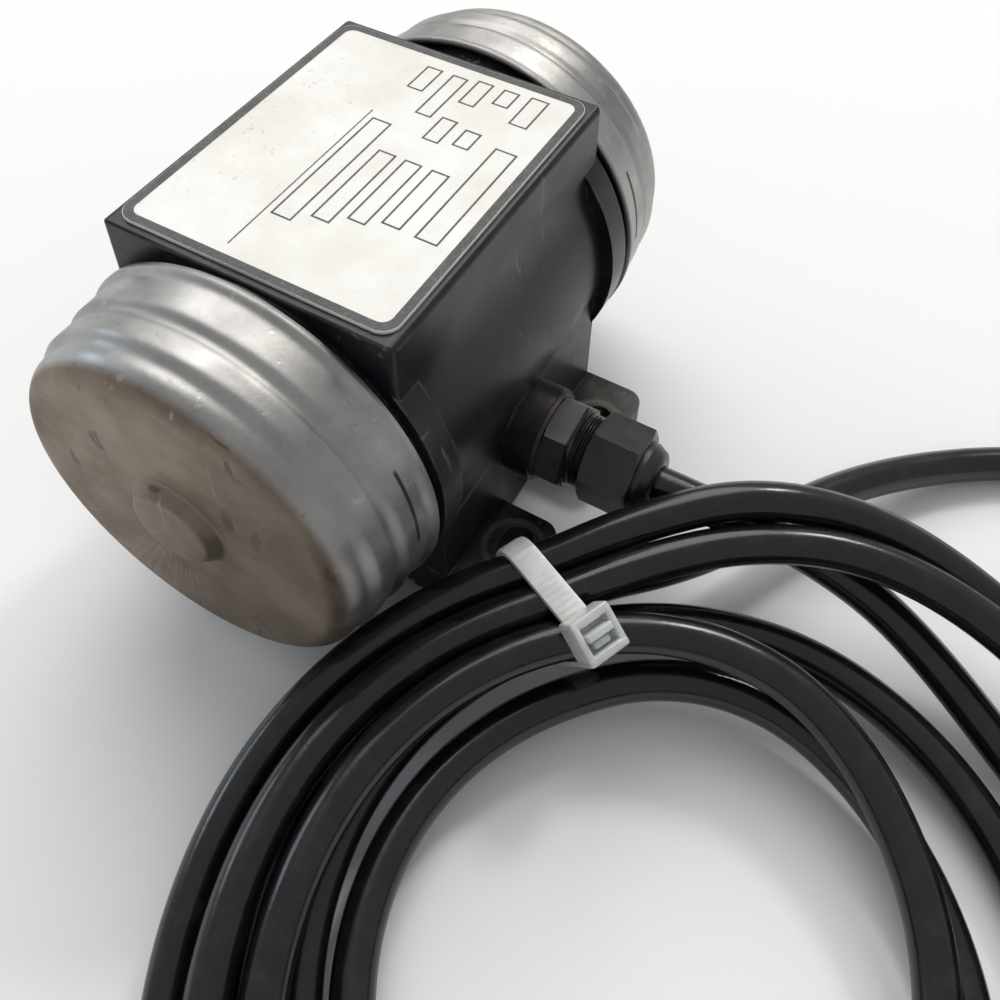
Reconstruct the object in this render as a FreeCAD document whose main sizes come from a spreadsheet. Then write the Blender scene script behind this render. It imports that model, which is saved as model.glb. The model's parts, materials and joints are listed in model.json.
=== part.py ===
import FreeCAD, Part
import math
import os
import re
import Sketcher

# A small single-phase external vibration motor: a cast housing on four slotted lugs, a rotor with
# an adjustable eccentric weight on each end of its shaft, drawn metal caps, and a coiled lead.
# Millimetres. +Z up, the shaft along Y, the cable gland on +X. The origin is on the surface that
# the motor stands on, below its middle. "Front" is the -Y end, "rear" the +Y end.

doc = FreeCAD.newDocument("VibrationMotor")
Vector = FreeCAD.Vector
Rotation = FreeCAD.Rotation
X, Y, Z = Vector(1, 0, 0), Vector(0, 1, 0), Vector(0, 0, 1)

SIZES = {
    # housing casting
    "axis_height": 39.0,
    "block_width": 54.0,
    "block_overhang": 17.75,
    "block_rise": 33.0,
    "block_edge": 1.2,
    "block_end_edge": 0.5,
    "barrel_radius": 32.2,
    "barrel_blend": 22.0,
    "pedestal_width": 62.3,
    "pedestal_length": 56.0,
    "pedestal_lift": 1.0,
    "collar_radius": 34.5,
    "collar_width": 5.4,
    "spigot_radius": 32.4,
    "spigot_length": 8.0,
    "register_radius": 29.0,
    "shield_hub_depth": 6.5,
    # mounting lugs
    "lug_wall": 3.1,
    "lug_root": 24.0,
    "lug_inner": 8.6,
    "lug_height": 8.6,
    "lug_corner": 3.5,
    "slot_width": 5.8,
    "slot_length": 9.2,
    "slot_across": 77.0,
    "slot_along": 33.0,
    # chamber under the stator
    "chamber_length": 40.0,
    "chamber_width": 42.0,
    "chamber_roof": 2.1,
    "capacitor_length": 30.0,
    "capacitor_width": 18.0,
    "capacitor_cover": 0.4,
    "potting_recess": 1.6,
    "passage_radius": 2.4,
    "passage_x": 13.0,
    "channel_radius": 4.0,
    "channel_reach": 6.0,
    # nameplate
    "plate_margin": 1.6,
    "plate_end_margin": 1.55,
    "plate_thickness": 0.6,
    "plate_corner": 3.0,
    # end caps
    "cap_gap": 2.0,
    "cap_sheet": 1.0,
    "cap_length": 20.5,
    "cap_rim": 34.7,
    "cap_rim_width": 1.0,
    "cap_band": 33.8,
    "cap_band_end": 7.6,
    "cap_neck": 32.5,
    "cap_neck_at": 9.0,
    "cap_bead": 33.1,
    "cap_bead_start": 10.4,
    "cap_bead_end": 13.8,
    "cap_wall": 31.9,
    "cap_wall_start": 15.6,
    "cap_face_radius": 4.0,
    "cap_button": 8.9,
    "cap_button_top": 7.0,
    "cap_button_height": 2.2,
    "cap_seal_section": 1.9,
    "cap_seal_at": 4.2,
    # bearings
    "bearing_bore": 6.0,
    "bearing_outer": 16.0,
    "bearing_width": 10.0,
    "winding_clearance": 0.8,
    "bearing_pitch": 11.0,
    "bearing_inner_land": 8.6,
    "bearing_outer_land": 13.4,
    "ball_radius": 2.9,
    "ball_clearance": 0.12,
    "ball_count": 8,
    "cage_thickness": 1.4,
    "cage_width": 7.4,
    "dust_shield_thickness": 0.7,
    "preload_width": 1.2,
    # bearing shields
    "shield_hub": 19.5,
    "shield_lip_radius": 13.0,
    "shield_lip": 1.0,
    "shield_pocket_depth": 2.4,
    "shield_pocket_inner": 20.5,
    "shield_pocket_outer": 26.0,
    "bore_clip_thickness": 1.5,
    "bore_clip_width": 3.2,
    "bore_clip_groove": 1.2,
    # stator and rotor
    "stack_radius": 26.5,
    "stack_length": 30.0,
    "stator_inner": 13.1,
    "air_gap": 0.35,
    "stator_slots": 12,
    "slot_mouth": 2.2,
    "slot_depth": 8.2,
    "slot_bottom_width": 7.4,
    "slot_top_width": 4.2,
    "tooth_tip": 1.2,
    "slot_liner": 0.2,
    "winding_overhang": 5.2,
    "main_inner": 18.2,
    "main_outer": 21.0,
    "start_inner": 15.3,
    "start_outer": 17.9,
    "rotor_bars": 16,
    "rotor_bar_radius": 1.1,
    "rotor_ring_width": 3.4,
    "rotor_ring_inner": 8.6,
    "shaft_radius": 7.0,
    "shaft_end": 3.2,
    # eccentric weights
    "spacer_radius": 8.4,
    "weight_radius": 18.0,
    "weight_hub": 9.6,
    "weight_sector_deg": 170.0,
    "spacer_length": 5.2,
    "fixed_weight_thickness": 4.0,
    "free_weight_thickness": 6.0,
    "weight_play": 0.3,
    "weight_bore_play": 0.05,
    "weight_split": 1.4,
    "clamp_ear": 14.0,
    "clamp_ear_top": 13.6,
    "clamp_screw_at": 10.6,
    "key_width": 4.0,
    "key_height": 4.0,
    "key_depth": 2.4,
    "clamp_screw_radius": 1.5,
    "clamp_head_radius": 2.6,
    "clamp_head_length": 2.6,
    "shaft_clip_radius": 8.6,
    "shaft_clip_thickness": 1.0,
    "shaft_clip_groove": 0.5,
    "shaft_clip_gap": 7.0,
    # cable gland and lead
    "gland_height": 22.4,
    "gland_boss_radius": 9.0,
    "gland_boss_face": 36.6,
    "gland_thread_radius": 6.0,
    "gland_thread_length": 8.0,
    "gland_flats": 15.0,
    "gland_seal_width": 0.8,
    "gland_seal_radius": 8.3,
    "gland_hex_length": 5.6,
    "gland_neck_radius": 6.9,
    "gland_neck_length": 2.6,
    "gland_nut_hex_length": 9.3,
    "gland_dome_length": 3.4,
    "gland_dome_radius": 5.4,
    "gland_hex_chamfer": 1.0,
    "gland_nut_thread": 5.0,
    "gland_nose_round": 1.6,
    "gland_body_turn_deg": 39.0,
    "gland_nut_turn_deg": 13.0,
    "cable_radius": 3.4,
    "cable_play": 0.1,
    "insert_radius": 5.4,
    "core_radius": 1.2,
    "ferrule_radius": 0.75,
    "ferrule_length": 8.0,
    "ferrule_collar": 1.6,
    "ferrule_collar_length": 3.0,
    # coil of cable and its tie
    "coil_centre_x": 92.0,
    "coil_centre_y": -70.0,
    "coil_inner": 42.0,
    "coil_outer": 69.0,
    "coil_tilt_deg": 4.0,
    "coil_height": 14.0,
    "coil_edge": 4.5,
    "coil_lift": 0.1,
    "tie_width": 4.8,
    "tie_thickness": 1.2,
    "tie_angle_deg": 136.0,
    "tie_head": 7.6,
    "tie_head_depth": 5.0,
    "tie_pinch": 1.0,
    "tie_lift": 0.1,
}

# sizes that follow from others, so that a changed stack, bearing or slot carries what is built round it
FREE_WEIGHT_AT = "fixed_weight_at + fixed_weight_thickness + weight_play"
CLIP_AT = FREE_WEIGHT_AT + " + free_weight_thickness + weight_play"
DERIVED = {
    "block_length": "stack_length + 2 * block_overhang",
    "lug_reach": "(slot_across + slot_width) / 2 + lug_wall",
    "lug_outer": "pedestal_length / 2",
    "chamber_height": "axis_height - stack_radius - chamber_roof",
    "capacitor_height": "chamber_height - potting_recess - 2 * capacitor_cover",
    "passage_y": "stack_length / 2 + passage_radius + slot_liner",
    "plate_width": "block_width - 2 * plate_margin",
    "plate_length": "block_length - 2 * plate_end_margin",
    "bearing_inner_face": "stack_length / 2 + winding_overhang + winding_clearance",
    "bearing_outer_face": "bearing_inner_face + bearing_width",
    "shield_shoulder": "bearing_inner_face + shield_hub_depth",
    "fixed_weight_at": "bearing_outer_face + spacer_length",
    "shaft_half_length": CLIP_AT + " + shaft_clip_thickness + shaft_end",
}


def write_sheet():
    """Puts every driving size in the spreadsheet, one named cell each."""
    table = doc.addObject("Spreadsheet::Sheet", "Sizes")
    for row, (alias, number) in enumerate(SIZES.items(), start=1):
        table.set("A%d" % row, alias.replace("_", " "))
        table.set("B%d" % row, str(number))
        table.setAlias("B%d" % row, alias)
    doc.recompute()
    return table


sheet = write_sheet()


def sized(text):
    """Expression text with each size name turned into a reference to the sheet."""

    def reference(match):
        name = match.group()
        if name in DERIVED:
            return "(%s)" % sized(DERIVED[name])
        return "Sizes." + name if name in SIZES else name

    return re.sub(r"[a-z_]+", reference, str(text))


def number(text):
    """The value that an expression of sizes has now."""
    found = sheet.evalExpression(sized(text))
    return float(getattr(found, "Value", found))


def bind(thing, prop, text):
    thing.setExpression(prop, sized(text))


# ---------------------------------------------------------------- building blocks

PARTS = {}


def add_part(name, thing):
    thing.Label = name
    PARTS[name] = thing
    return thing


def new_body(name):
    body = doc.addObject("PartDesign::Body", name)
    body.AllowCompound = True
    return body


def base_plane(body, role):
    return [o for o in body.Origin.OriginFeatures if o.Role == role][0]


def new_sketch(body, name, role="XZ_Plane", offset=None):
    sketch = body.newObject("Sketcher::SketchObject", name)
    sketch.AttachmentSupport = [(base_plane(body, role), "")]
    sketch.MapMode = "FlatFace"
    if offset is not None:
        bind(sketch, "AttachmentOffset.Base.z", offset)
    return sketch


def pin_point(sketch, geometry, end, x, y):
    """Ties a point of the sketch to expressions for its two coordinates."""
    for kind, text, axis in (("DistanceX", x, -2), ("DistanceY", y, -1)):
        if str(text) == "0":
            sketch.addConstraint(Sketcher.Constraint("PointOnObject", geometry, end, axis))
            continue
        index = sketch.addConstraint(Sketcher.Constraint(kind, -1, 1, geometry, end, number(text)))
        bind(sketch, "Constraints[%d]" % index, text)


def draw_outline(sketch, corners):
    """A closed polygon with every corner tied to the sheet."""
    first = sketch.GeometryCount
    places = [Vector(number(x), number(y), 0) for x, y in corners]
    count = len(places)
    for i in range(count):
        sketch.addGeometry(Part.LineSegment(places[i], places[(i + 1) % count]), False)
    for i in range(count):
        sketch.addConstraint(Sketcher.Constraint("Coincident", first + i, 2, first + (i + 1) % count, 1))
    for i, (x, y) in enumerate(corners):
        pin_point(sketch, first + i, 1, x, y)


def draw_rectangle(sketch, x_low, y_low, x_high, y_high):
    draw_outline(sketch, [(x_low, y_low), (x_high, y_low), (x_high, y_high), (x_low, y_high)])


def draw_circle(sketch, x, y, radius):
    centre = Vector(number(x), number(y), 0)
    index = sketch.addGeometry(Part.Circle(centre, Z, number(radius)), False)
    if str(x) == "0" and str(y) == "0":
        sketch.addConstraint(Sketcher.Constraint("Coincident", index, 3, -1, 1))
    else:
        pin_point(sketch, index, 3, x, y)
    row = sketch.addConstraint(Sketcher.Constraint("Radius", index, number(radius)))
    bind(sketch, "Constraints[%d]" % row, radius)


def draw_slot(sketch, x, y, length, width):
    """A round-ended slot along the sketch's second axis."""
    half, reach = "(%s) / 2" % width, "((%s) - (%s)) / 2" % (length, width)
    low, high = "(%s) - %s" % (y, reach), "(%s) + %s" % (y, reach)
    cx, r, y0, y1 = number(x), number(half), number(low), number(high)
    top = Part.ArcOfCircle(Part.Circle(Vector(cx, y1, 0), Z, r), 0, math.pi)
    left = Part.LineSegment(Vector(cx - r, y1, 0), Vector(cx - r, y0, 0))
    foot = Part.ArcOfCircle(Part.Circle(Vector(cx, y0, 0), Z, r), math.pi, 2 * math.pi)
    right = Part.LineSegment(Vector(cx + r, y0, 0), Vector(cx + r, y1, 0))
    first = sketch.GeometryCount
    for piece in (top, left, foot, right):
        sketch.addGeometry(piece, False)
    for i in range(4):
        sketch.addConstraint(Sketcher.Constraint("Tangent", first + i, 2, first + (i + 1) % 4, 1))
    pin_point(sketch, first, 3, x, high)
    pin_point(sketch, first + 2, 3, x, low)
    row = sketch.addConstraint(Sketcher.Constraint("Radius", first, r))
    bind(sketch, "Constraints[%d]" % row, half)


def pad(body, name, sketch, length, symmetric=False, reverse=False):
    feature = body.newObject("PartDesign::Pad", name)
    feature.Profile = sketch
    feature.SideType = "Symmetric" if symmetric else "One side"
    feature.Reversed = reverse
    bind(feature, "Length", length)
    doc.recompute()
    return feature


def pocket(body, name, sketch, length, symmetric=False, reverse=False):
    """Cuts the sketch out of the body, and stops if nothing was cut."""
    before = body.Shape.Volume
    feature = body.newObject("PartDesign::Pocket", name)
    feature.Profile = sketch
    feature.SideType = "Symmetric" if symmetric else "One side"
    feature.Reversed = reverse
    bind(feature, "Length", length)
    doc.recompute()
    if not body.Shape.Volume < before - 1e-6:
        raise RuntimeError("%s of %s cuts nothing" % (name, body.Name))
    return feature


def revolve(body, name, corners, role="XZ_Plane", axis="V_Axis", cut=False):
    """Turns a closed profile about an axis of its sketch: new material, or a groove."""
    before = body.Shape.Volume if cut else 0.0
    sketch = new_sketch(body, name + "Profile", role)
    draw_outline(sketch, corners)
    feature = body.newObject("PartDesign::Groove" if cut else "PartDesign::Revolution", name)
    feature.Profile = sketch
    feature.ReferenceAxis = (sketch, [axis])
    feature.Angle = 360.0
    doc.recompute()
    if cut and not body.Shape.Volume < before - 1e-6:
        raise RuntimeError("%s of %s cuts nothing" % (name, body.Name))
    return feature


def round_edges(body, name, radius, wanted, kind="PartDesign::Fillet"):
    """Rounds, or chamfers, the edges of the body's tip that the test picks."""
    tip = body.Tip
    names = ["Edge%d" % (i + 1) for i, e in enumerate(tip.Shape.Edges) if wanted(e)]
    if not names:
        raise RuntimeError("%s of %s finds no edge" % (name, body.Name))
    feature = body.newObject(kind, name)
    feature.Base = (tip, names)
    bind(feature, "Radius" if kind.endswith("Fillet") else "Size", radius)
    doc.recompute()
    return feature


def polar_pattern(body, name, original, axis_role, count):
    feature = body.newObject("PartDesign::PolarPattern", name)
    feature.Originals = [original]
    feature.Axis = (base_plane(body, axis_role), [""])
    feature.Angle = 360.0
    bind(feature, "Occurrences", count)
    body.Tip = feature
    doc.recompute()
    return feature


def place(thing, x="0", y="0", z="0", rotation=None):
    thing.Placement = FreeCAD.Placement(Vector(0, 0, 0), rotation or Rotation())
    for letter, text in (("x", x), ("y", y), ("z", z)):
        if str(text) != "0":
            bind(thing, "Placement.Base." + letter, text)


# each end: name, sign along Y, and the turn that sends a piece's own +Z outwards along the shaft
# and its own +Y upwards
FRONT = ("front", "-1", Rotation(X, 90))
REAR = ("rear", "1", Rotation(X, -90).multiply(Rotation(Z, 180)))
ENDS = (FRONT, REAR)
TO_GLAND = Rotation(Y, 90)


def on_shaft(thing, end, distance):
    """Puts a piece on the shaft's line, its own origin a distance from the middle of the motor."""
    place(thing, "0", "%s * (%s)" % (end[1], distance), "axis_height", end[2])


def is_straight(edge, direction):
    ends = [v.Point for v in edge.Vertexes]
    if len(ends) < 2:
        return False
    span = ends[1] - ends[0]
    return near(edge.Length, span.Length, 1e-6) and span.cross(direction).Length < 1e-6


def near(a, b, slack=0.02):
    return abs(a - b) < slack


# ---------------------------------------------------------------- housing

CAP_RIM_AT = "block_length / 2 + cap_gap"
SPIGOT_END = "block_length / 2 + spigot_length"
COLLAR_START = "block_length / 2 - collar_width"
SHIELD_FACE = "bearing_inner_face + bearing_width + preload_width + shield_lip"


def housing_forms(body):
    """Barrel, flat-topped block and pedestal, blended along their creases."""
    sketch = new_sketch(body, "BarrelSection")
    draw_circle(sketch, "0", "0", "barrel_radius")
    pad(body, "Barrel", sketch, "block_length", symmetric=True)
    sketch = new_sketch(body, "BlockSection")
    draw_rectangle(sketch, "-block_width / 2", "0", "block_width / 2", "block_rise")
    pad(body, "Block", sketch, "block_length", symmetric=True)
    half = number("block_width / 2")
    crease = math.sqrt(number("barrel_radius") ** 2 - half ** 2)

    def is_crease(edge):
        c = edge.CenterOfMass
        return is_straight(edge, Y) and near(abs(c.x), half) and near(c.z, crease, 0.1)

    round_edges(body, "BarrelBlend", "barrel_blend", is_crease)
    sketch = new_sketch(body, "PedestalSection")
    draw_rectangle(sketch, "-pedestal_width / 2", "pedestal_lift - axis_height", "pedestal_width / 2", "0")
    pad(body, "Pedestal", sketch, "pedestal_length", symmetric=True)


def housing_ends(body):
    """A collar and a turned spigot at each end, trimmed level with the block's flat top."""
    for sign, name in (("-1", "Front"), ("1", "Rear")):
        steps = [
            ("0", "0"),
            ("0", "collar_radius"),
            ("1", "collar_radius"),
            ("1", "spigot_radius"),
            ("2", "spigot_radius"),
            ("2", "0"),
        ]
        along = {"0": COLLAR_START, "1": "block_length / 2", "2": SPIGOT_END}
        corners = [("%s * (%s)" % (sign, along[a]), r) for a, r in steps]
        revolve(body, name + "Collar", corners, role="YZ_Plane", axis="H_Axis")
    sketch = new_sketch(body, "TopFlatSection", role="XY_Plane", offset="block_rise")
    draw_rectangle(sketch, "-collar_radius", "-block_length / 2", "collar_radius", "block_length / 2")
    pocket(body, "TopFlat", sketch, "collar_radius", reverse=True)


def housing_edges(body):
    """Eases the block's long edges and its upright corners, and breaks its end edges."""
    side, half, rise = number("block_width / 2"), number("block_length / 2"), number("block_rise")

    def is_long_edge(edge):
        c = edge.CenterOfMass
        upright = is_straight(edge, Z) and near(abs(c.y), half)
        along = is_straight(edge, Y) and near(c.z, rise)
        return near(abs(c.x), side) and (upright or along)

    def is_end_edge(edge):
        c = edge.CenterOfMass
        return is_straight(edge, X) and near(c.z, rise) and near(abs(c.y), half)

    round_edges(body, "BlockEdges", "block_edge", is_long_edge)
    round_edges(body, "BlockEnds", "block_end_edge", is_end_edge)


def housing_lugs(body):
    """Four slotted feet with rounded outer corners."""
    sketch = new_sketch(body, "LugSection", role="XY_Plane", offset="-axis_height")
    for sx in ("-1", "1"):
        for sy in ("-1", "1"):
            xs = ["%s * lug_root" % sx, "%s * lug_reach" % sx]
            ys = ["%s * lug_inner" % sy, "%s * lug_outer" % sy]
            draw_rectangle(sketch, xs[0], ys[0], xs[1], ys[1])
    pad(body, "Lugs", sketch, "lug_height")
    reach = number("lug_reach")

    def is_lug_corner(edge):
        return is_straight(edge, Z) and near(abs(edge.CenterOfMass.x), reach)

    round_edges(body, "LugCorners", "lug_corner", is_lug_corner)


def housing_boss(body):
    sketch = new_sketch(body, "GlandBossSection", role="YZ_Plane")
    draw_circle(sketch, "0", "gland_height - axis_height", "gland_boss_radius")
    pad(body, "GlandBoss", sketch, "gland_boss_face")


def housing_bores(body):
    """Stator bore, the registers for the bearing shields, and the grooves."""
    inner = [
        ("%s + 1" % SPIGOT_END, "register_radius"),
        ("%s + bore_clip_thickness" % SHIELD_FACE, "register_radius"),
        ("%s + bore_clip_thickness" % SHIELD_FACE, "register_radius + bore_clip_groove"),
        (SHIELD_FACE, "register_radius + bore_clip_groove"),
        (SHIELD_FACE, "register_radius"),
        ("shield_shoulder", "register_radius"),
        ("shield_shoulder", "stack_radius"),
    ]
    corners = [("%s + 1" % SPIGOT_END, "0")] + inner
    corners += [("-(%s)" % y, r) for y, r in reversed(inner)]
    corners += [("-(%s + 1)" % SPIGOT_END, "0")]
    revolve(body, "Bore", corners, role="YZ_Plane", axis="H_Axis", cut=True)
    for sign, name in (("-1", "Front"), ("1", "Rear")):
        low = "%s * (%s + cap_seal_at - cap_seal_section / 2 - 0.2)" % (sign, CAP_RIM_AT)
        high = "%s * (%s + cap_seal_at + cap_seal_section / 2 + 0.2)" % (sign, CAP_RIM_AT)
        floor = "cap_band - cap_sheet - cap_seal_section"
        groove = [(low, floor), (high, floor), (high, "spigot_radius + 1"), (low, "spigot_radius + 1")]
        revolve(body, name + "SealGroove", groove, role="YZ_Plane", axis="H_Axis", cut=True)


def housing_holes(body):
    """Slots in the lugs, the gland's hole with its lead channel, and the capacitor's chamber."""
    sketch = new_sketch(body, "LugSlots", role="XY_Plane", offset="-axis_height")
    for sx in ("-1", "1"):
        for sy in ("-1", "1"):
            x, y = sx + " * slot_across / 2", sy + " * slot_along / 2"
            draw_slot(sketch, x, y, "slot_length", "slot_width")
    pocket(body, "Slots", sketch, "lug_height", reverse=True)
    sketch = new_sketch(body, "GlandHoleSection", role="YZ_Plane")
    draw_circle(sketch, "0", "gland_height - axis_height", "gland_thread_radius")
    pocket(body, "GlandHole", sketch, "gland_boss_face", reverse=True)
    sketch = new_sketch(body, "ChannelSection", role="XZ_Plane", offset="-channel_reach")
    centre = "sqrt(stack_radius ^ 2 - (gland_height - axis_height) ^ 2) + channel_radius / 2"
    draw_circle(sketch, centre, "gland_height - axis_height", "channel_radius")
    pocket(body, "LeadChannel", sketch, "channel_reach + shield_shoulder", reverse=True)
    sketch = new_sketch(body, "ChamberSection", role="XY_Plane", offset="-axis_height")
    draw_rectangle(
        sketch, "-chamber_width / 2", "-chamber_length / 2", "chamber_width / 2", "chamber_length / 2"
    )
    pocket(body, "Chamber", sketch, "chamber_height", reverse=True)
    sketch = new_sketch(body, "PassageSection", role="XY_Plane", offset="-axis_height")
    draw_circle(sketch, "passage_x", "-passage_y", "passage_radius")
    pocket(body, "Passage", sketch, "axis_height", reverse=True)


def make_housing():
    body = new_body("Housing")
    housing_forms(body)
    housing_ends(body)
    housing_edges(body)
    housing_lugs(body)
    housing_boss(body)
    housing_bores(body)
    housing_holes(body)
    place(body, z="axis_height")
    add_part("housing", body)


def make_nameplate():
    body = new_body("Nameplate")
    sketch = new_sketch(body, "PlateOutline", role="XY_Plane")
    draw_rectangle(sketch, "-plate_width / 2", "-plate_length / 2", "plate_width / 2", "plate_length / 2")
    pad(body, "Plate", sketch, "plate_thickness")
    round_edges(body, "PlateCorners", "plate_corner", lambda e: is_straight(e, Z))
    place(body, z="axis_height + block_rise")
    add_part("nameplate", body)


# ---------------------------------------------------------------- caps and seals


def make_cap(end):
    """A drawn metal cup: rolled rim, band, bead, rounded face and a pressed-out centre."""
    body = new_body("Cap" + end[0].title())
    corners = [
        ("0", "0"),
        ("cap_rim", "0"),
        ("cap_rim", "cap_rim_width"),
        ("cap_band", "cap_rim_width + cap_rim - cap_band"),
        ("cap_band", "cap_band_end"),
        ("cap_neck", "cap_neck_at"),
        ("cap_bead", "cap_bead_start"),
        ("cap_bead", "cap_bead_end"),
        ("cap_wall", "cap_wall_start"),
        ("cap_wall", "cap_length"),
        ("cap_button", "cap_length"),
        ("cap_button_top", "cap_length + cap_button_height"),
        ("0", "cap_length + cap_button_height"),
    ]
    revolve(body, "Drawing", corners)
    wall, face = number("cap_wall"), number("cap_length")

    def at(radius, height):
        return lambda e: near(e.BoundBox.ZMax, height) and near(e.BoundBox.ZMin, height) and near(
            e.BoundBox.XMax, radius
        )

    round_edges(body, "FaceRadius", "cap_face_radius", at(wall, face))
    soft = (
        (number("cap_button"), face),
        (number("cap_button_top"), face + number("cap_button_height")),
        (number("cap_neck"), number("cap_neck_at")),
    )
    round_edges(body, "PressedEdges", "cap_sheet * 0.9", lambda e: any(at(r, z)(e) for r, z in soft))
    tip = body.Tip
    mouth = ["Face%d" % (i + 1) for i, f in enumerate(tip.Shape.Faces) if near(f.BoundBox.ZMax, 0.0)]
    shell = body.newObject("PartDesign::Thickness", "Sheet")
    shell.Base = (tip, mouth)
    bind(shell, "Value", "cap_sheet")
    shell.Reversed = True
    shell.Join = "Intersection"
    doc.recompute()
    on_shaft(body, end, CAP_RIM_AT)
    add_part(end[0] + "_cap", body)


def make_cap_seal(end):
    ring = doc.addObject("Part::Torus", "CapSeal" + end[0].title())
    bind(ring, "Radius1", "cap_band - cap_sheet - cap_seal_section / 2")
    bind(ring, "Radius2", "cap_seal_section / 2")
    on_shaft(ring, end, CAP_RIM_AT + " + cap_seal_at")
    add_part(end[0] + "_cap_seal", ring)


# ---------------------------------------------------------------- bearing shields and bearings


def make_shield(end):
    """The disc that carries a bearing: a register, a hub with the bearing seat and a lip."""
    body = new_body("BearingShield" + end[0].title())
    face = "%s - shield_shoulder" % SHIELD_FACE
    corners = [
        ("bearing_outer", "bearing_inner_face - shield_shoulder"),
        ("shield_hub", "bearing_inner_face - shield_shoulder"),
        ("shield_hub", "0"),
        ("register_radius", "0"),
        ("register_radius", face),
        ("shield_pocket_outer", face),
        ("shield_pocket_outer", face + " - shield_pocket_depth"),
        ("shield_pocket_inner", face + " - shield_pocket_depth"),
        ("shield_pocket_inner", face),
        ("shield_lip_radius", face),
        ("shield_lip_radius", face + " - shield_lip"),
        ("bearing_outer", face + " - shield_lip"),
    ]
    revolve(body, "Disc", corners)
    on_shaft(body, end, "shield_shoulder")
    add_part(end[0] + "_bearing_shield", body)


def make_bore_clip(end):
    """Spring ring in the housing's groove, with its gap and two eyes."""
    body = new_body("BoreClip" + end[0].title())
    outer = "register_radius + bore_clip_groove"
    corners = [
        (outer + " - bore_clip_width", "0"),
        (outer, "0"),
        (outer, "bore_clip_thickness"),
        (outer + " - bore_clip_width", "bore_clip_thickness"),
    ]
    revolve(body, "Ring", corners)
    sketch = new_sketch(body, "EyeSection", role="XY_Plane")
    for sign in ("-1", "1"):
        x = sign + " * bore_clip_width * 1.3"
        draw_circle(sketch, x, "%s - bore_clip_width * 1.15" % outer, "bore_clip_width * 0.75")
    pad(body, "Eyes", sketch, "bore_clip_thickness")
    sketch = new_sketch(body, "GapSection", role="XY_Plane")
    gap = "bore_clip_width * 0.45"
    draw_rectangle(sketch, "-" + gap, outer + " - bore_clip_width * 2.5", gap, outer + " + 1")
    for sign in ("-1", "1"):
        x = sign + " * bore_clip_width * 1.3"
        draw_circle(sketch, x, "%s - bore_clip_width * 1.15" % outer, "bore_clip_width * 0.3")
    pocket(body, "GapAndEyeHoles", sketch, "bore_clip_thickness", reverse=True)
    on_shaft(body, end, SHIELD_FACE)
    add_part(end[0] + "_shield_clip", body)


BEARING_MIDDLE = "bearing_inner_face + bearing_width / 2"


def make_race(end, name, inner, outer):
    """One ring of a ball bearing, its ball track cut by a ring-shaped tool."""
    ring = doc.addObject("Part::Cylinder", name + "Blank")
    bind(ring, "Radius", outer)
    bind(ring, "Height", "bearing_width")
    bind(ring, "Placement.Base.z", "-bearing_width / 2")
    hole = doc.addObject("Part::Cylinder", name + "Hole")
    bind(hole, "Radius", inner)
    bind(hole, "Height", "bearing_width + 2")
    bind(hole, "Placement.Base.z", "-bearing_width / 2 - 1")
    track = doc.addObject("Part::Torus", name + "Track")
    bind(track, "Radius1", "bearing_pitch")
    bind(track, "Radius2", "ball_radius + ball_clearance")
    bored = doc.addObject("Part::Cut", name + "Bored")
    bored.Base, bored.Tool = ring, hole
    race = doc.addObject("Part::Cut", name)
    race.Base, race.Tool = bored, track
    on_shaft(race, end, BEARING_MIDDLE)
    return race


def make_balls(end):
    """The bearing's ring of balls, all in one node."""
    balls = []
    count = int(number("ball_count"))
    for i in range(count):
        ball = doc.addObject("Part::Sphere", "Ball%s%d" % (end[0].title(), i + 1))
        bind(ball, "Radius", "ball_radius")
        bind(ball, "Placement.Base.x", "bearing_pitch * cos(%d * 360 deg / ball_count)" % i)
        bind(ball, "Placement.Base.y", "bearing_pitch * sin(%d * 360 deg / ball_count)" % i)
        balls.append(ball)
    ring = doc.addObject("Part::Compound", "Balls" + end[0].title())
    ring.Links = balls
    on_shaft(ring, end, BEARING_MIDDLE)
    add_part(end[0] + "_bearing_balls", ring)


def make_cage(end):
    """A machined ring with one round pocket for each ball."""
    body = new_body("Cage" + end[0].title())
    corners = [
        ("bearing_pitch - cage_thickness / 2", "-cage_width / 2"),
        ("bearing_pitch + cage_thickness / 2", "-cage_width / 2"),
        ("bearing_pitch + cage_thickness / 2", "cage_width / 2"),
        ("bearing_pitch - cage_thickness / 2", "cage_width / 2"),
    ]
    revolve(body, "Ring", corners)
    sketch = new_sketch(body, "PocketSection", role="YZ_Plane")
    draw_circle(sketch, "0", "0", "ball_radius + ball_clearance")
    hole = pocket(body, "BallPocket", sketch, "bearing_outer", reverse=True)
    polar_pattern(body, "BallPockets", hole, "Z_Axis", "ball_count")
    on_shaft(body, end, BEARING_MIDDLE)
    add_part(end[0] + "_bearing_cage", body)


def make_dust_shields(end):
    """The two thin washers that close the bearing, fixed in its outer ring."""
    body = doc.addObject("Part::Compound", "DustShields" + end[0].title())
    links = []
    for sign in ("-1", "1"):
        disc = doc.addObject("Part::Cylinder", "DustDisc")
        hole = doc.addObject("Part::Cylinder", "DustHole")
        middle = "%s * (bearing_width / 2 - dust_shield_thickness)" % sign
        for piece, radius in ((disc, "bearing_outer_land"), (hole, "bearing_inner_land + 0.3")):
            bind(piece, "Radius", radius)
            bind(piece, "Height", "dust_shield_thickness")
            bind(piece, "Placement.Base.z", middle + " - dust_shield_thickness / 2")
        washer = doc.addObject("Part::Cut", "DustShield")
        washer.Base, washer.Tool = disc, hole
        links.append(washer)
    body.Links = links
    on_shaft(body, end, BEARING_MIDDLE)
    add_part(end[0] + "_bearing_dust_shields", body)


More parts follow.
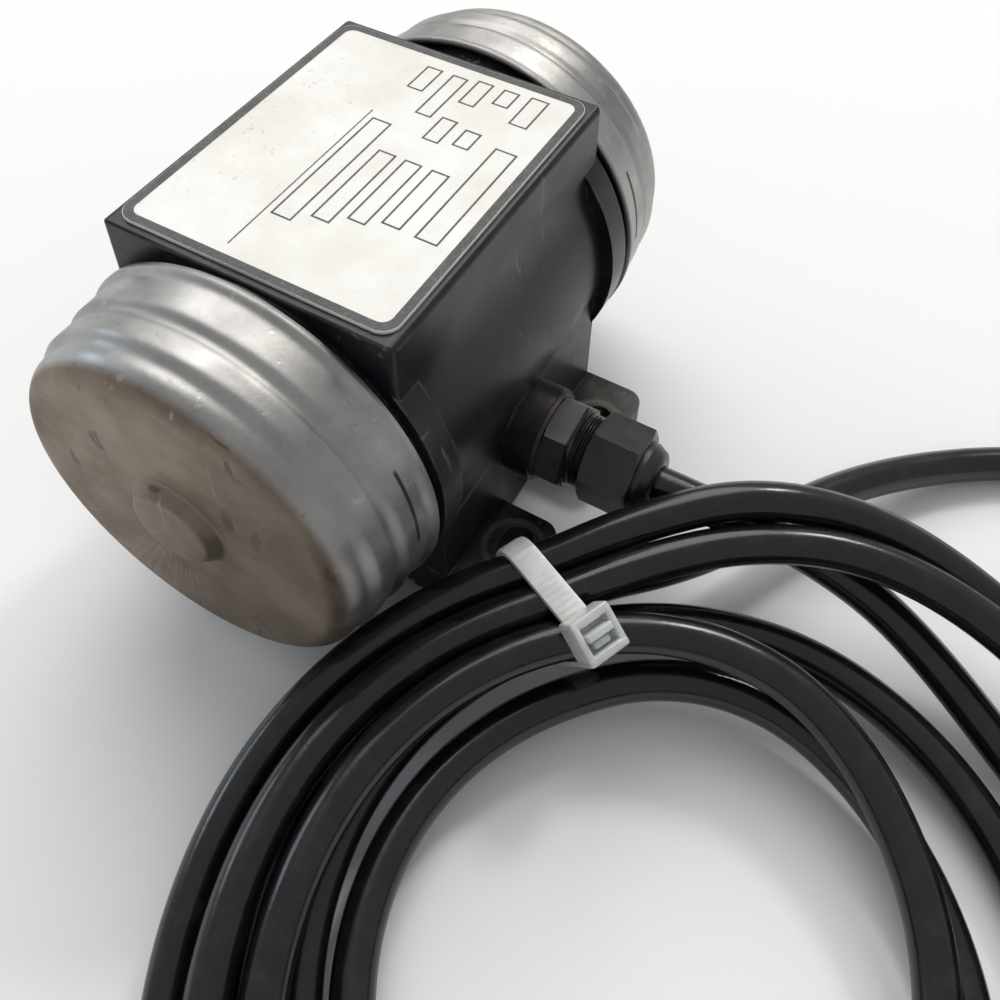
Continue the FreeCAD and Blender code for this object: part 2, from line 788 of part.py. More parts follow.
def make_bearing(end):
    outer = make_race(end, "OuterRing" + end[0].title(), "bearing_outer_land", "bearing_outer")
    add_part(end[0] + "_bearing_outer_ring", outer)
    inner = make_race(end, "InnerRing" + end[0].title(), "bearing_bore", "bearing_inner_land")
    add_part(end[0] + "_bearing_inner_ring", inner)
    make_balls(end)
    make_cage(end)
    make_dust_shields(end)


def make_ring(label, end, inner, outer, start, width):
    """A plain turned ring on the shaft's line: spacer, shim or washer."""
    body = new_body("Ring" + label.title().replace("_", ""))
    revolve(body, "Turned", [(inner, "0"), (outer, "0"), (outer, width), (inner, width)])
    on_shaft(body, end, start)
    add_part(label, body)


def make_preload_spring(end):
    """Wave washer that loads the rear bearing: a ring whose faces rise and fall three times."""
    inner, outer = number("shield_lip_radius + 0.6"), number("bearing_outer - 0.4")
    sheet_thickness, rise = 0.4, number("preload_width") - 0.4
    step = 10
    rings = []
    for radius in (inner, outer):
        points = []
        for angle in range(0, 360, step):
            height = rise / 2 * (1 + math.cos(math.radians(3 * angle)))
            turn = math.radians(angle)
            points.append(Vector(radius * math.cos(turn), radius * math.sin(turn), height))
        curve = Part.BSplineCurve()
        curve.interpolate(points, PeriodicFlag=True)
        rings.append(curve.toShape())
    surface = Part.makeRuledSurface(rings[0], rings[1])
    spring = doc.addObject("Part::Feature", "PreloadSpring")
    spring.Shape = surface.extrude(Vector(0, 0, sheet_thickness))
    on_shaft(spring, end, "bearing_inner_face + bearing_width")
    add_part(end[0] + "_preload_spring", spring)


# ---------------------------------------------------------------- stator


def make_stator_core():
    """Ring of laminations with open slots that widen outwards."""
    body = new_body("StatorCore")
    sketch = new_sketch(body, "LaminationRing", role="XZ_Plane")
    draw_circle(sketch, "0", "0", "stack_radius")
    draw_circle(sketch, "0", "0", "stator_inner")
    pad(body, "Stack", sketch, "stack_length", symmetric=True)
    sketch = new_sketch(body, "SlotSection", role="XZ_Plane")
    tip, root, top = "stator_inner + tooth_tip", "stator_inner + slot_depth", "stator_inner - 1"
    draw_outline(
        sketch,
        [
            ("-slot_mouth / 2", top),
            ("slot_mouth / 2", top),
            ("slot_mouth / 2", tip),
            ("slot_top_width / 2", tip + " + 0.8"),
            ("slot_bottom_width / 2", root),
            ("-slot_bottom_width / 2", root),
            ("-slot_top_width / 2", tip + " + 0.8"),
            ("-slot_mouth / 2", tip),
        ],
    )
    hole = pocket(body, "Slot", sketch, "stack_length", symmetric=True)
    polar_pattern(body, "Slots", hole, "Y_Axis", "stator_slots")
    place(body, z="axis_height")
    add_part("stator_core", body)


WINDING_BAR_WIDTH = "slot_top_width - 2 * slot_liner"
WINDING_BAR_LENGTH = "stack_length + 2 * slot_liner"


def make_winding(name, label, slots, inner, outer):
    """One winding: its bars in the slots and a ring of end turns at each end of the stack."""
    body = new_body(name)
    sketch = new_sketch(body, "EndTurnRing", role="XZ_Plane")
    draw_circle(sketch, "0", "0", outer)
    draw_circle(sketch, "0", "0", inner)
    pad(body, "EndTurns", sketch, "stack_length + 2 * winding_overhang", symmetric=True)
    sketch = new_sketch(body, "StackSection", role="XZ_Plane")
    draw_circle(sketch, "0", "0", "stack_radius + 1")
    pocket(body, "StackSpace", sketch, "stack_length", symmetric=True)
    bars = []
    for slot in slots:
        bar = doc.addObject("Part::Box", "%sBar%d" % (name, slot))
        bind(bar, "Length", WINDING_BAR_WIDTH)
        bind(bar, "Width", WINDING_BAR_LENGTH)
        bind(bar, "Height", "(%s) - (%s)" % (outer, inner))
        bind(bar, "Placement.Base.x", "-(%s) / 2" % WINDING_BAR_WIDTH)
        bind(bar, "Placement.Base.y", "-(%s) / 2" % WINDING_BAR_LENGTH)
        bind(bar, "Placement.Base.z", inner)
        turned = doc.addObject("Part::Compound", "%sSlot%d" % (name, slot))
        turned.Links = [bar]
        turned.Placement = FreeCAD.Placement(Vector(), Rotation(Y, slot * 360.0 / SIZES["stator_slots"]))
        bars.append(turned)
    whole = doc.addObject("Part::MultiFuse", name + "Whole")
    whole.Shapes = [body] + bars
    whole.Refine = True
    place(whole, z="axis_height")
    add_part(label, whole)


# ---------------------------------------------------------------- rotor


def make_shaft():
    """Stepped shaft: rotor seat, bearing journals, keyways and clip grooves."""
    body = new_body("Shaft")
    clip = CLIP_AT
    half = [
        ("shaft_radius", "bearing_inner_face"),
        ("bearing_bore", "bearing_inner_face"),
        ("bearing_bore", clip),
        ("bearing_bore - shaft_clip_groove", clip),
        ("bearing_bore - shaft_clip_groove", clip + " + shaft_clip_thickness"),
        ("bearing_bore", clip + " + shaft_clip_thickness"),
        ("bearing_bore", "shaft_half_length - 0.8"),
        ("bearing_bore - 0.8", "shaft_half_length"),
    ]
    corners = [("0", "-shaft_half_length")]
    corners += [(r, "-(%s)" % z) for r, z in reversed(half)]
    corners += half + [("0", "shaft_half_length")]
    revolve(body, "Turned", corners)
    for sign, name in (("-1", "Front"), ("1", "Rear")):
        sketch = new_sketch(body, name + "KeywaySection", role="YZ_Plane")
        low = "%s * fixed_weight_at" % sign
        high = "%s * (fixed_weight_at + fixed_weight_thickness)" % sign
        bottom, top = "bearing_bore - key_depth", "bearing_bore + 1"
        draw_outline(sketch, [(bottom, low), (top, low), (top, high), (bottom, high)])
        pocket(body, name + "Keyway", sketch, "key_width", symmetric=True)
    place(body, z="axis_height", rotation=REAR[2])
    add_part("shaft", body)


ROTOR_BAR_AT = "stator_inner - air_gap - rotor_bar_radius - 0.5"


def make_rotor_core():
    body = new_body("RotorCore")
    sketch = new_sketch(body, "LaminationDisc", role="XZ_Plane")
    draw_circle(sketch, "0", "0", "stator_inner - air_gap")
    draw_circle(sketch, "0", "0", "shaft_radius")
    pad(body, "Stack", sketch, "stack_length", symmetric=True)
    sketch = new_sketch(body, "BarHole", role="XZ_Plane")
    draw_circle(sketch, "0", ROTOR_BAR_AT, "rotor_bar_radius")
    hole = pocket(body, "Hole", sketch, "stack_length", symmetric=True)
    polar_pattern(body, "Holes", hole, "Y_Axis", "rotor_bars")
    place(body, z="axis_height")
    add_part("rotor_core", body)


def make_rotor_cage():
    """Cast squirrel cage: a bar in each hole and a short-circuit ring at each end."""
    body = new_body("RotorCage")
    sketch = new_sketch(body, "BarSection", role="XZ_Plane")
    draw_circle(sketch, "0", ROTOR_BAR_AT, "rotor_bar_radius")
    sketch_ring = new_sketch(body, "RingSection", role="XZ_Plane")
    draw_circle(sketch_ring, "0", "0", "stator_inner - air_gap")
    draw_circle(sketch_ring, "0", "0", "rotor_ring_inner")
    pad(body, "Rings", sketch_ring, "stack_length + 2 * rotor_ring_width", symmetric=True)
    sketch_gap = new_sketch(body, "StackSection", role="XZ_Plane")
    draw_circle(sketch_gap, "0", "0", "stack_radius")
    pocket(body, "StackSpace", sketch_gap, "stack_length", symmetric=True)
    bar = pad(body, "Bar", sketch, "stack_length + rotor_ring_width", symmetric=True)
    polar_pattern(body, "Bars", bar, "Y_Axis", "rotor_bars")
    place(body, z="axis_height")
    add_part("rotor_cage", body)


def make_weight_blank(body, thickness, bore):
    """An eccentric plate: a sector of a disc that hangs from a round hub."""
    sketch = new_sketch(body, "DiscSection", role="XY_Plane")
    draw_circle(sketch, "0", "0", "weight_radius")
    pad(body, "Disc", sketch, thickness)
    sketch = new_sketch(body, "LightSide", role="XY_Plane")
    reach = "weight_radius * 1.5"
    drop = "-weight_radius * 1.5 * tan((180 - weight_sector_deg) / 2 * 1 deg)"
    corners = [("-" + reach, drop), ("0", "0"), (reach, drop), (reach, reach), ("-" + reach, reach)]
    draw_outline(sketch, corners)
    pocket(body, "CutAway", sketch, thickness, reverse=True)
    sketch = new_sketch(body, "HubSection", role="XY_Plane")
    draw_circle(sketch, "0", "0", "weight_hub")
    pad(body, "Hub", sketch, thickness)
    if thickness == "free_weight_thickness":
        sketch = new_sketch(body, "EarSection", role="XY_Plane")
        draw_rectangle(sketch, "-clamp_ear / 2", "0", "clamp_ear / 2", "clamp_ear_top")
        pad(body, "Ears", sketch, thickness)
    sketch = new_sketch(body, "BoreSection", role="XY_Plane")
    draw_circle(sketch, "0", "0", bore)
    pocket(body, "Bore", sketch, thickness, reverse=True)


def make_fixed_weight(end):
    """Weight keyed to the shaft."""
    body = new_body("FixedWeight" + end[0].title())
    make_weight_blank(body, "fixed_weight_thickness", "bearing_bore")
    sketch = new_sketch(body, "KeywaySection", role="XY_Plane")
    top = "bearing_bore - key_depth + key_height"
    draw_rectangle(sketch, "-key_width / 2", "0", "key_width / 2", top)
    pocket(body, "Keyway", sketch, "fixed_weight_thickness", reverse=True)
    on_shaft(body, end, "fixed_weight_at")
    add_part(end[0] + "_fixed_weight", body)


def make_key(end):
    key = doc.addObject("Part::Box", "Key" + end[0].title())
    bind(key, "Length", "key_width")
    bind(key, "Width", "key_height")
    bind(key, "Height", "fixed_weight_thickness")
    holder = doc.addObject("Part::Compound", "KeySeated" + end[0].title())
    bind(key, "Placement.Base.x", "-key_width / 2")
    bind(key, "Placement.Base.y", "bearing_bore - key_depth")
    holder.Links = [key]
    on_shaft(holder, end, "fixed_weight_at")
    add_part(end[0] + "_key", holder)


def make_free_weight(end):
    """Weight that turns on the shaft to set the force, split at its hub and clamped by a screw."""
    body = new_body("FreeWeight" + end[0].title())
    make_weight_blank(body, "free_weight_thickness", "bearing_bore + weight_bore_play")
    sketch = new_sketch(body, "SplitSection", role="XY_Plane")
    draw_rectangle(sketch, "-weight_split / 2", "0", "weight_split / 2", "clamp_ear_top + 1")
    pocket(body, "Split", sketch, "free_weight_thickness", reverse=True)
    sketch = new_sketch(body, "ScrewHoleSection", role="YZ_Plane")
    draw_circle(sketch, "clamp_screw_at", "free_weight_thickness / 2", "clamp_screw_radius")
    pocket(body, "ScrewHole", sketch, "clamp_ear + 2", symmetric=True)
    on_shaft(body, end, FREE_WEIGHT_AT)
    add_part(end[0] + "_weight", body)


def make_clamp_screw(end):
    """Socket-head screw across the split."""
    body = new_body("ClampScrew" + end[0].title())
    tip, seat = "-clamp_ear / 2", "clamp_ear / 2"
    head = "clamp_ear / 2 + clamp_head_length"
    corners = [("0", tip), ("clamp_screw_radius", tip), ("clamp_screw_radius", seat)]
    corners += [("clamp_head_radius", seat), ("clamp_head_radius", head), ("0", head)]
    revolve(body, "Turned", corners)
    sketch = new_sketch(body, "SocketSection", role="XY_Plane", offset=head)
    draw_hexagon(sketch, "clamp_head_radius * 0.9")
    pocket(body, "Socket", sketch, "clamp_head_length * 0.6")
    turned = doc.addObject("Part::Compound", "ClampScrewTurned" + end[0].title())
    place(body, y="clamp_screw_at", z="free_weight_thickness / 2", rotation=Rotation(Y, 90))
    turned.Links = [body]
    on_shaft(turned, end, FREE_WEIGHT_AT)
    add_part(end[0] + "_clamp_screw", turned)


def make_shaft_clip(end):
    """Open spring ring in the shaft's groove, outside the free weight."""
    body = new_body("ShaftClip" + end[0].title())
    inner = "bearing_bore - shaft_clip_groove"
    corners = [(inner, "0"), ("shaft_clip_radius", "0")]
    corners += [("shaft_clip_radius", "shaft_clip_thickness"), (inner, "shaft_clip_thickness")]
    revolve(body, "Ring", corners)
    sketch = new_sketch(body, "GapSection", role="XY_Plane")
    draw_rectangle(sketch, "-shaft_clip_gap / 2", "-shaft_clip_radius - 1", "shaft_clip_gap / 2", "0")
    pocket(body, "Gap", sketch, "shaft_clip_thickness", reverse=True)
    on_shaft(body, end, CLIP_AT)
    add_part(end[0] + "_shaft_clip", body)


# ---------------------------------------------------------------- capacitor


CAPACITOR_FLOOR = "(chamber_height + potting_recess - capacitor_height) / 2"


def make_capacitor():
    box = doc.addObject("Part::Box", "CapacitorBlock")
    bind(box, "Length", "capacitor_length")
    bind(box, "Width", "capacitor_width")
    bind(box, "Height", "capacitor_height")
    case = doc.addObject("Part::Fillet", "Capacitor")
    case.Base = box
    doc.recompute()
    case.Edges = [(i + 1, 1.0, 1.0) for i in range(len(box.Shape.Edges))]
    place(case, "-capacitor_length / 2", "-capacitor_width / 2", CAPACITOR_FLOOR)
    doc.recompute()
    fill = doc.addObject("Part::Box", "PottingFill")
    bind(fill, "Length", "chamber_width")
    bind(fill, "Width", "chamber_length")
    bind(fill, "Height", "chamber_height - potting_recess")
    place(fill, "-chamber_width / 2", "-chamber_length / 2", "potting_recess")
    potting = doc.addObject("Part::Cut", "Potting")
    potting.Base, potting.Tool = fill, case
    add_part("run_capacitor", case)
    add_part("potting", potting)


# ---------------------------------------------------------------- cable gland


def draw_hexagon(sketch, flats):
    """A regular hexagon about the sketch's origin, its flats a distance apart."""
    corner = "(%s) / sqrt(3)" % flats
    corners = []
    for turn in range(0, 360, 60):
        corners.append(("%s * cos(%d deg)" % (corner, turn), "%s * sin(%d deg)" % (corner, turn)))
    draw_outline(sketch, corners)


def at_gland(thing, turn="0"):
    """Puts a piece on the gland's line, its own +Z outwards, turned about that line."""
    place(thing, "gland_boss_face", "0", "gland_height", TO_GLAND.multiply(Rotation(Z, number(turn))))


GLAND_NECK_AT = "gland_seal_width + gland_hex_length"
GLAND_NUT_AT = GLAND_NECK_AT + " + gland_neck_length"
GLAND_DOME_AT = GLAND_NUT_AT + " + gland_nut_hex_length"
GLAND_TIP = GLAND_DOME_AT + " + gland_dome_length"


def break_hexagon(body, name, low, high, flats):
    """Turns off the hexagon's corners at both of its faces."""
    edge, depth = "(%s) / sqrt(3) + 1" % flats, "gland_hex_chamfer"
    inner = "(%s) / 2 * 1.02" % flats
    for kind, face, inside in (("Lower", low, "+"), ("Upper", high, "-")):
        corners = [(inner, face), (edge, face), (edge, "%s %s %s" % (face, inside, depth))]
        revolve(body, name + kind + "Chamfer", corners, cut=True)


def make_gland_body():
    """Threaded spigot in the boss, hexagon, neck and the thread that the dome nut is on."""
    body = new_body("GlandBody")
    sketch = new_sketch(body, "HexagonSection", role="XY_Plane", offset="gland_seal_width")
    draw_hexagon(sketch, "gland_flats")
    pad(body, "Hexagon", sketch, "gland_hex_length")
    break_hexagon(body, "Hexagon", "gland_seal_width", GLAND_NECK_AT, "gland_flats")
    thread_end = GLAND_NUT_AT + " + gland_nut_thread"
    outside = [
        ("gland_thread_radius", "-gland_thread_length"),
        ("gland_thread_radius", "gland_seal_width + 1"),
        ("gland_neck_radius", "gland_seal_width + 1"),
        ("gland_neck_radius", GLAND_NUT_AT),
        ("gland_thread_radius", GLAND_NUT_AT),
        ("gland_thread_radius", thread_end),
    ]
    corners = [("0", "-gland_thread_length")] + outside + [("0", thread_end)]
    revolve(body, "Turned", corners)
    bore = [
        ("0", "-gland_thread_length - 1"),
        ("cable_radius + 0.8", "-gland_thread_length - 1"),
        ("cable_radius + 0.8", "gland_seal_width + 1"),
        ("insert_radius", "gland_seal_width + 1"),
        ("insert_radius", thread_end + " + 1"),
        ("0", thread_end + " + 1"),
    ]
    revolve(body, "Bore", bore, cut=True)
    at_gland(body, "gland_body_turn_deg")
    add_part("gland_body", body)


def make_gland_nut():
    """Dome nut with a rounded nose round the cable."""
    body = new_body("GlandNut")
    sketch = new_sketch(body, "HexagonSection", role="XY_Plane", offset=GLAND_NUT_AT)
    draw_hexagon(sketch, "gland_flats")
    pad(body, "Hexagon", sketch, "gland_nut_hex_length")
    break_hexagon(body, "Hexagon", GLAND_NUT_AT, GLAND_DOME_AT, "gland_flats")
    shoulder = "gland_dome_radius + 1.2"
    corners = [
        ("0", GLAND_DOME_AT + " - 1"),
        (shoulder, GLAND_DOME_AT + " - 1"),
        (shoulder, GLAND_DOME_AT + " + gland_dome_length * 0.3"),
        ("gland_dome_radius", GLAND_TIP),
        ("0", GLAND_TIP),
    ]
    revolve(body, "Dome", corners)
    tip = number(GLAND_TIP)

    def is_nose(edge):
        return near(edge.BoundBox.ZMin, tip) and edge.BoundBox.ZMax - edge.BoundBox.ZMin < 0.01

    round_edges(body, "Nose", "gland_nose_round", is_nose)
    thread_end = GLAND_NUT_AT + " + gland_nut_thread"
    bore = [
        ("0", GLAND_NUT_AT + " - 1"),
        ("gland_thread_radius", GLAND_NUT_AT + " - 1"),
        ("gland_thread_radius", thread_end),
        ("insert_radius", thread_end),
        ("insert_radius", GLAND_DOME_AT),
        ("cable_radius + cable_play", GLAND_DOME_AT),
        ("cable_radius + cable_play", GLAND_TIP + " + 1"),
        ("0", GLAND_TIP + " + 1"),
    ]
    revolve(body, "Bore", bore, cut=True)
    at_gland(body, "gland_nut_turn_deg")
    add_part("gland_nut", body)


def make_gland_tube(label, inner, outer, low, high):
    """A turned sleeve on the gland's line: the sealing ring, the rubber insert."""
    body = new_body("Gland" + label.title().replace("_", ""))
    revolve(body, "Turned", [(inner, low), (outer, low), (outer, high), (inner, high)])
    at_gland(body)
    add_part(label, body)


def make_inner_cable():
    """The cable's end inside the motor, through the gland as far as its nose."""
    cable = doc.addObject("Part::Cylinder", "InnerCable")
    bind(cable, "Radius", "cable_radius")
    bind(cable, "Height", "gland_thread_length + %s" % GLAND_TIP)
    place(cable, "gland_boss_face - gland_thread_length", "0", "gland_height", TO_GLAND)
    add_part("cable_in_gland", cable)


# ---------------------------------------------------------------- cable, coil and tie

# the lead from the gland's nose to where it joins the coil, and the tail that leaves the coil near
# the tie and passes under the lead
LEAD_BENDS = [
    (68.0, 0.0, 22.4),
    (79.5, 1.8, 20.6),
    (91.5, 3.9, 17.2),
    (103.5, 2.6, 13.8),
    (115.2, -1.4, 11.2),
    (125.6, -8.4, 9.4),
    (133.5, -17.0, 8.6),
]
TAIL_BENDS = [
    (69.0, -13.5, 12.8),
    (73.8, -2.8, 12.6),
    (78.6, 8.2, 11.6),
    (84.0, 20.0, 9.4),
    (91.0, 32.0, 6.8),
    (100.0, 43.0, 4.6),
    (110.5, 52.0, 3.6),
    (122.0, 58.0, 3.5),
    (134.5, 60.5, 3.5),
    (146.5, 60.5, 3.5),
]
# each bare core's way from the end of the sheath
CORE_BENDS = {
    "core_brown": [
        (0, 1.25, -0.72),
        (7, 1.25, -0.72),
        (15, 3.6, -1.3),
        (22, 7.8, -1.75),
        (29, 11.2, -1.8),
    ],
    "core_blue": [
        (0, 0, 1.45),
        (7, 0, 1.45),
        (15, 0.4, 0.2),
        (22.5, -0.6, -1.2),
        (30, -1.8, -1.75),
    ],
    "core_earth": [
        (0, -1.25, -0.72),
        (7, -1.25, -0.72),
        (14, -3.8, -1.3),
        (20.5, -8.0, -1.75),
        (26, -12.6, -1.8),
    ],
}


def bent_path(places, name):
    """Straight runs joined by tangent arcs, as a cable lies; prints the radii of the arcs."""
    pieces, radii = [], []
    start = places[0]
    for i in range(1, len(places) - 1):
        before, here, after = places[i - 1], places[i], places[i + 1]
        arrive, leave = (here - before).normalize(), (after - here).normalize()
        turn = arrive.getAngle(leave)
        setback = 0.45 * min((here - before).Length, (after - here).Length)
        radii.append(setback / math.tan(turn / 2))
        first, last = here - arrive * setback, here + leave * setback
        inward = (leave - arrive).normalize()
        middle = here + inward * (radii[-1] / math.cos(turn / 2) - radii[-1])
        pieces.append(Part.LineSegment(start, first).toShape())
        pieces.append(Part.Arc(first, middle, last).toShape())
        start = last
    pieces.append(Part.LineSegment(start, places[-1]).toShape())
    print(name, "bend radii", [round(r, 1) for r in radii])
    return Part.Wire(pieces)


def sweep_cord(label, places, radius):
    path = bent_path(places, label)
    ring = Part.Wire([Part.makeCircle(radius, places[0], places[1] - places[0])])
    tube = path.makePipeShell([ring], True, False)
    whole = math.pi * radius ** 2 * path.Length
    if abs(tube.Volume / whole - 1) > 0.01:
        raise RuntimeError("%s sweep has the wrong volume" % label)
    cord = doc.addObject("Part::Feature", label.title().replace("_", ""))
    cord.Shape = tube
    add_part(label, cord)
    return path


def make_lead():
    exit_x = number("gland_boss_face + %s" % GLAND_TIP)
    start = Vector(exit_x, 0, number("gland_height"))
    sweep_cord("lead_cable", [start] + [Vector(*p) for p in LEAD_BENDS], number("cable_radius"))
    sweep_cord("tail_cable", [Vector(*p) for p in TAIL_BENDS], number("cable_radius"))


def make_cores():
    """Three bare cores out of the end of the sheath, each with a crimped ferrule."""
    sheath_end = Vector(*TAIL_BENDS[-1])
    sleeves = []
    for label, bends in CORE_BENDS.items():
        places = [sheath_end + Vector(*p) for p in bends]
        sweep_cord(label, places, number("core_radius"))
        along = (places[-1] - places[-2]).normalize()
        collar_length = number("ferrule_collar_length")
        collar = Part.makeCylinder(number("ferrule_collar"), collar_length, places[-1], along)
        tube_at = places[-1] + along * collar_length
        tube = Part.makeCylinder(number("ferrule_radius"), number("ferrule_length"), tube_at, along)
        sleeves.append(collar.fuse(tube).removeSplitter())
    ferrules = doc.addObject("Part::Feature", "Ferrules")
    ferrules.Shape = Part.makeCompound(sleeves)
    add_part("core_ferrules", ferrules)


def lean_on_lug(thing):
    """The coil's own frame: +X towards the tie, tilted so that this side lies on a lug."""
    tilt = Rotation(Y, -number("coil_tilt_deg"))
    height = "coil_lift + (coil_outer - coil_edge) * sin(coil_tilt_deg * 1 deg)"
    turn = Rotation(Z, number("tie_angle_deg")).multiply(tilt)
    place(thing, "coil_centre_x", "coil_centre_y", height, turn)


def coil_box(name, spans):
    """A block in the tie's own frame: out from the coil's centre, along the cable, and up."""
    block = doc.addObject("Part::Box", name)
    for size, letter, (low, high) in zip(("Length", "Width", "Height"), "xyz", spans):
        bind(block, size, "(%s) - (%s)" % (high, low))
        bind(block, "Placement.Base." + letter, low)
    holder = doc.addObject("Part::Compound", name + "Turned")
    holder.Links = [block]
    lean_on_lug(holder)
    return holder


TIE_INSIDE = ("coil_inner + tie_pinch", "coil_outer - tie_pinch")
TIE_FOOT = "tie_lift + tie_thickness"
TIE_TOP = "coil_height - tie_pinch"
TIE_ALONG = ("-tie_width / 2", "tie_width / 2")


def make_coil():
    """Outer shape of the coiled cable, waisted where the tie is pulled round it."""
    body = new_body("CoilForm")
    inner, outer, top = "coil_inner", "coil_outer", "coil_height"
    revolve(body, "Ring", [(inner, "0"), (outer, "0"), (outer, top), (inner, top)])

    def is_rim(edge):
        return edge.BoundBox.XLength > 1 and edge.BoundBox.ZLength < 0.01

    round_edges(body, "SoftEdges", "coil_edge", is_rim)
    lean_on_lug(body)
    core = coil_box("CoilPinched", (TIE_INSIDE, TIE_ALONG, (TIE_FOOT, TIE_TOP)))
    crossing = (("coil_inner - 1", "coil_outer + 1"), TIE_ALONG, ("-1", "coil_height + 1"))
    around = coil_box("CoilCrossing", crossing)
    waist = doc.addObject("Part::Cut", "CoilWaist")
    waist.Base, waist.Tool = around, core
    coil = doc.addObject("Part::Cut", "Coil")
    coil.Base, coil.Tool = body, waist
    add_part("cable_coil", coil)


def make_tie():
    """Nylon tie: a strap pulled flat round the coil and its square head on top."""
    low, high = TIE_INSIDE
    outer_spans = (
        (low + " - tie_thickness", high + " + tie_thickness"),
        TIE_ALONG,
        ("tie_lift", TIE_TOP + " + tie_thickness"),
    )
    outer = coil_box("TieOutside", outer_spans)
    inner = coil_box("TieInside", (TIE_INSIDE, TIE_ALONG, (TIE_FOOT, TIE_TOP)))
    strap = doc.addObject("Part::Cut", "TieStrap")
    strap.Base, strap.Tool = outer, inner
    head_low = low + " - tie_thickness"
    head_spans = (
        (head_low, head_low + " + tie_head"),
        ("-tie_head / 2", "tie_head / 2"),
        (TIE_TOP + " + tie_thickness", TIE_TOP + " + tie_thickness + tie_head_depth"),
    )
    head = coil_box("TieHead", head_spans)
    tie = doc.addObject("Part::Fuse", "CableTie")
    tie.Base, tie.Tool = strap, head
    tie.Refine = True
    add_part("cable_tie", tie)


# ---------------------------------------------------------------- the whole motor


def make_motor():
    make_housing()
    make_nameplate()
    for end in ENDS:
        make_cap(end)
        make_cap_seal(end)
        make_shield(end)
        make_bore_clip(end)
        make_bearing(end)
        spacer = ("bearing_bore", "spacer_radius", "bearing_outer_face", "spacer_length")
        make_ring(end[0] + "_spacer", end, *spacer)
        make_fixed_weight(end)
        make_key(end)
        make_free_weight(end)
        make_clamp_screw(end)
        make_shaft_clip(end)
    shim = ("shield_lip_radius", "bearing_outer", "bearing_outer_face", "preload_width")
    make_ring("front_bearing_shim", FRONT, *shim)
    make_preload_spring(REAR)
    make_stator_core()
    make_winding("MainWinding", "main_winding", (0, 1, 2, 3, 6, 7, 8, 9), "main_inner", "main_outer")
    make_winding("StartWinding", "auxiliary_winding", (4, 5, 10, 11), "start_inner", "start_outer")
    make_shaft()
    make_rotor_core()
    make_rotor_cage()
    make_capacitor()
    make_gland_body()
    make_gland_nut()
    make_gland_tube("gland_seal", "gland_thread_radius", "gland_seal_radius", "0", "gland_seal_width")
    insert_low, insert_high = "gland_seal_width + 1", GLAND_DOME_AT
    make_gland_tube("gland_insert", "cable_radius", "insert_radius", insert_low, insert_high)
    make_inner_cable()
    make_lead()
    make_cores()
    make_coil()
    make_tie()


def check_document():
    """Stops on any failed object or bad shape, before anything is written."""
    for thing in doc.Objects:
        if {"Invalid", "Error"} & set(thing.State):
            raise RuntimeError("%s is %s" % (thing.Name, thing.State))
    for name, thing in PARTS.items():
        shape = thing.Shape
        if shape.isNull() or not shape.isValid() or shape.Volume < 0.01:
            raise RuntimeError(name + " has no valid shape")


def write_parts():
    os.makedirs("parts", exist_ok=True)
    for name, thing in PARTS.items():
        thing.Shape.exportStep(os.path.join("parts", name + ".step"))
        print("%-30s %2d solids %10.1f mm3" % (name, len(thing.Shape.Solids), thing.Shape.Volume))


make_motor()
doc.recompute()
check_document()
write_parts()
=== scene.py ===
"""Looks of a small external vibration motor: its materials, cable, cable tie and plate print.

Shapes and the camera's place are written in millimetres, as in the CAD, and become metres with
MM. The floor, the lamps and everything in a material are in metres.
"""

import json
import math

import bmesh
import bpy
from mathutils import Matrix, Vector


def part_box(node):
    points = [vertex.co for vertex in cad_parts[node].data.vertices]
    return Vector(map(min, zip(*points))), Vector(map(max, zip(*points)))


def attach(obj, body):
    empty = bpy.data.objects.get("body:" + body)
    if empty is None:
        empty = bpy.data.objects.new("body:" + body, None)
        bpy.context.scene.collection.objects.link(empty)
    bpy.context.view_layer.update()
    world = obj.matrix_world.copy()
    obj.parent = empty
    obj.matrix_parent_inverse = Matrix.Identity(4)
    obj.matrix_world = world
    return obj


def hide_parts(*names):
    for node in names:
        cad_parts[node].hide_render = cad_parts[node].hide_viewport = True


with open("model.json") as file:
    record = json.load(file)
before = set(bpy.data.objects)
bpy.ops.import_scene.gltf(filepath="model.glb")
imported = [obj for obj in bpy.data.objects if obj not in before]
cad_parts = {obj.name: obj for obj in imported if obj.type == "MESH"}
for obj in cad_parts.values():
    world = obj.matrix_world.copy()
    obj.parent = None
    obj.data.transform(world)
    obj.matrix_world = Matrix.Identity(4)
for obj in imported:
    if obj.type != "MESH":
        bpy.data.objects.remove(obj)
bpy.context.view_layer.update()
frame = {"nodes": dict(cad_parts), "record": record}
MM = 0.001
MOTOR_AXIS = 0.039


# ---------------------------------------------------------------- camera


# azimuth, elevation and roll in degrees
CAMERA_TURN = (28.991, 46.054, 1.023)
# from the camera to the motor's middle, in millimetres: to its right, down and ahead
CAMERA_TO_MOTOR = (-22.304, -0.135, 208.388)
# focal length and sensor width in millimetres
LENS = 40.685
SENSOR = 36.0
# moves the motor up in the picture without turning the camera
FRAME_SHIFT = -0.2


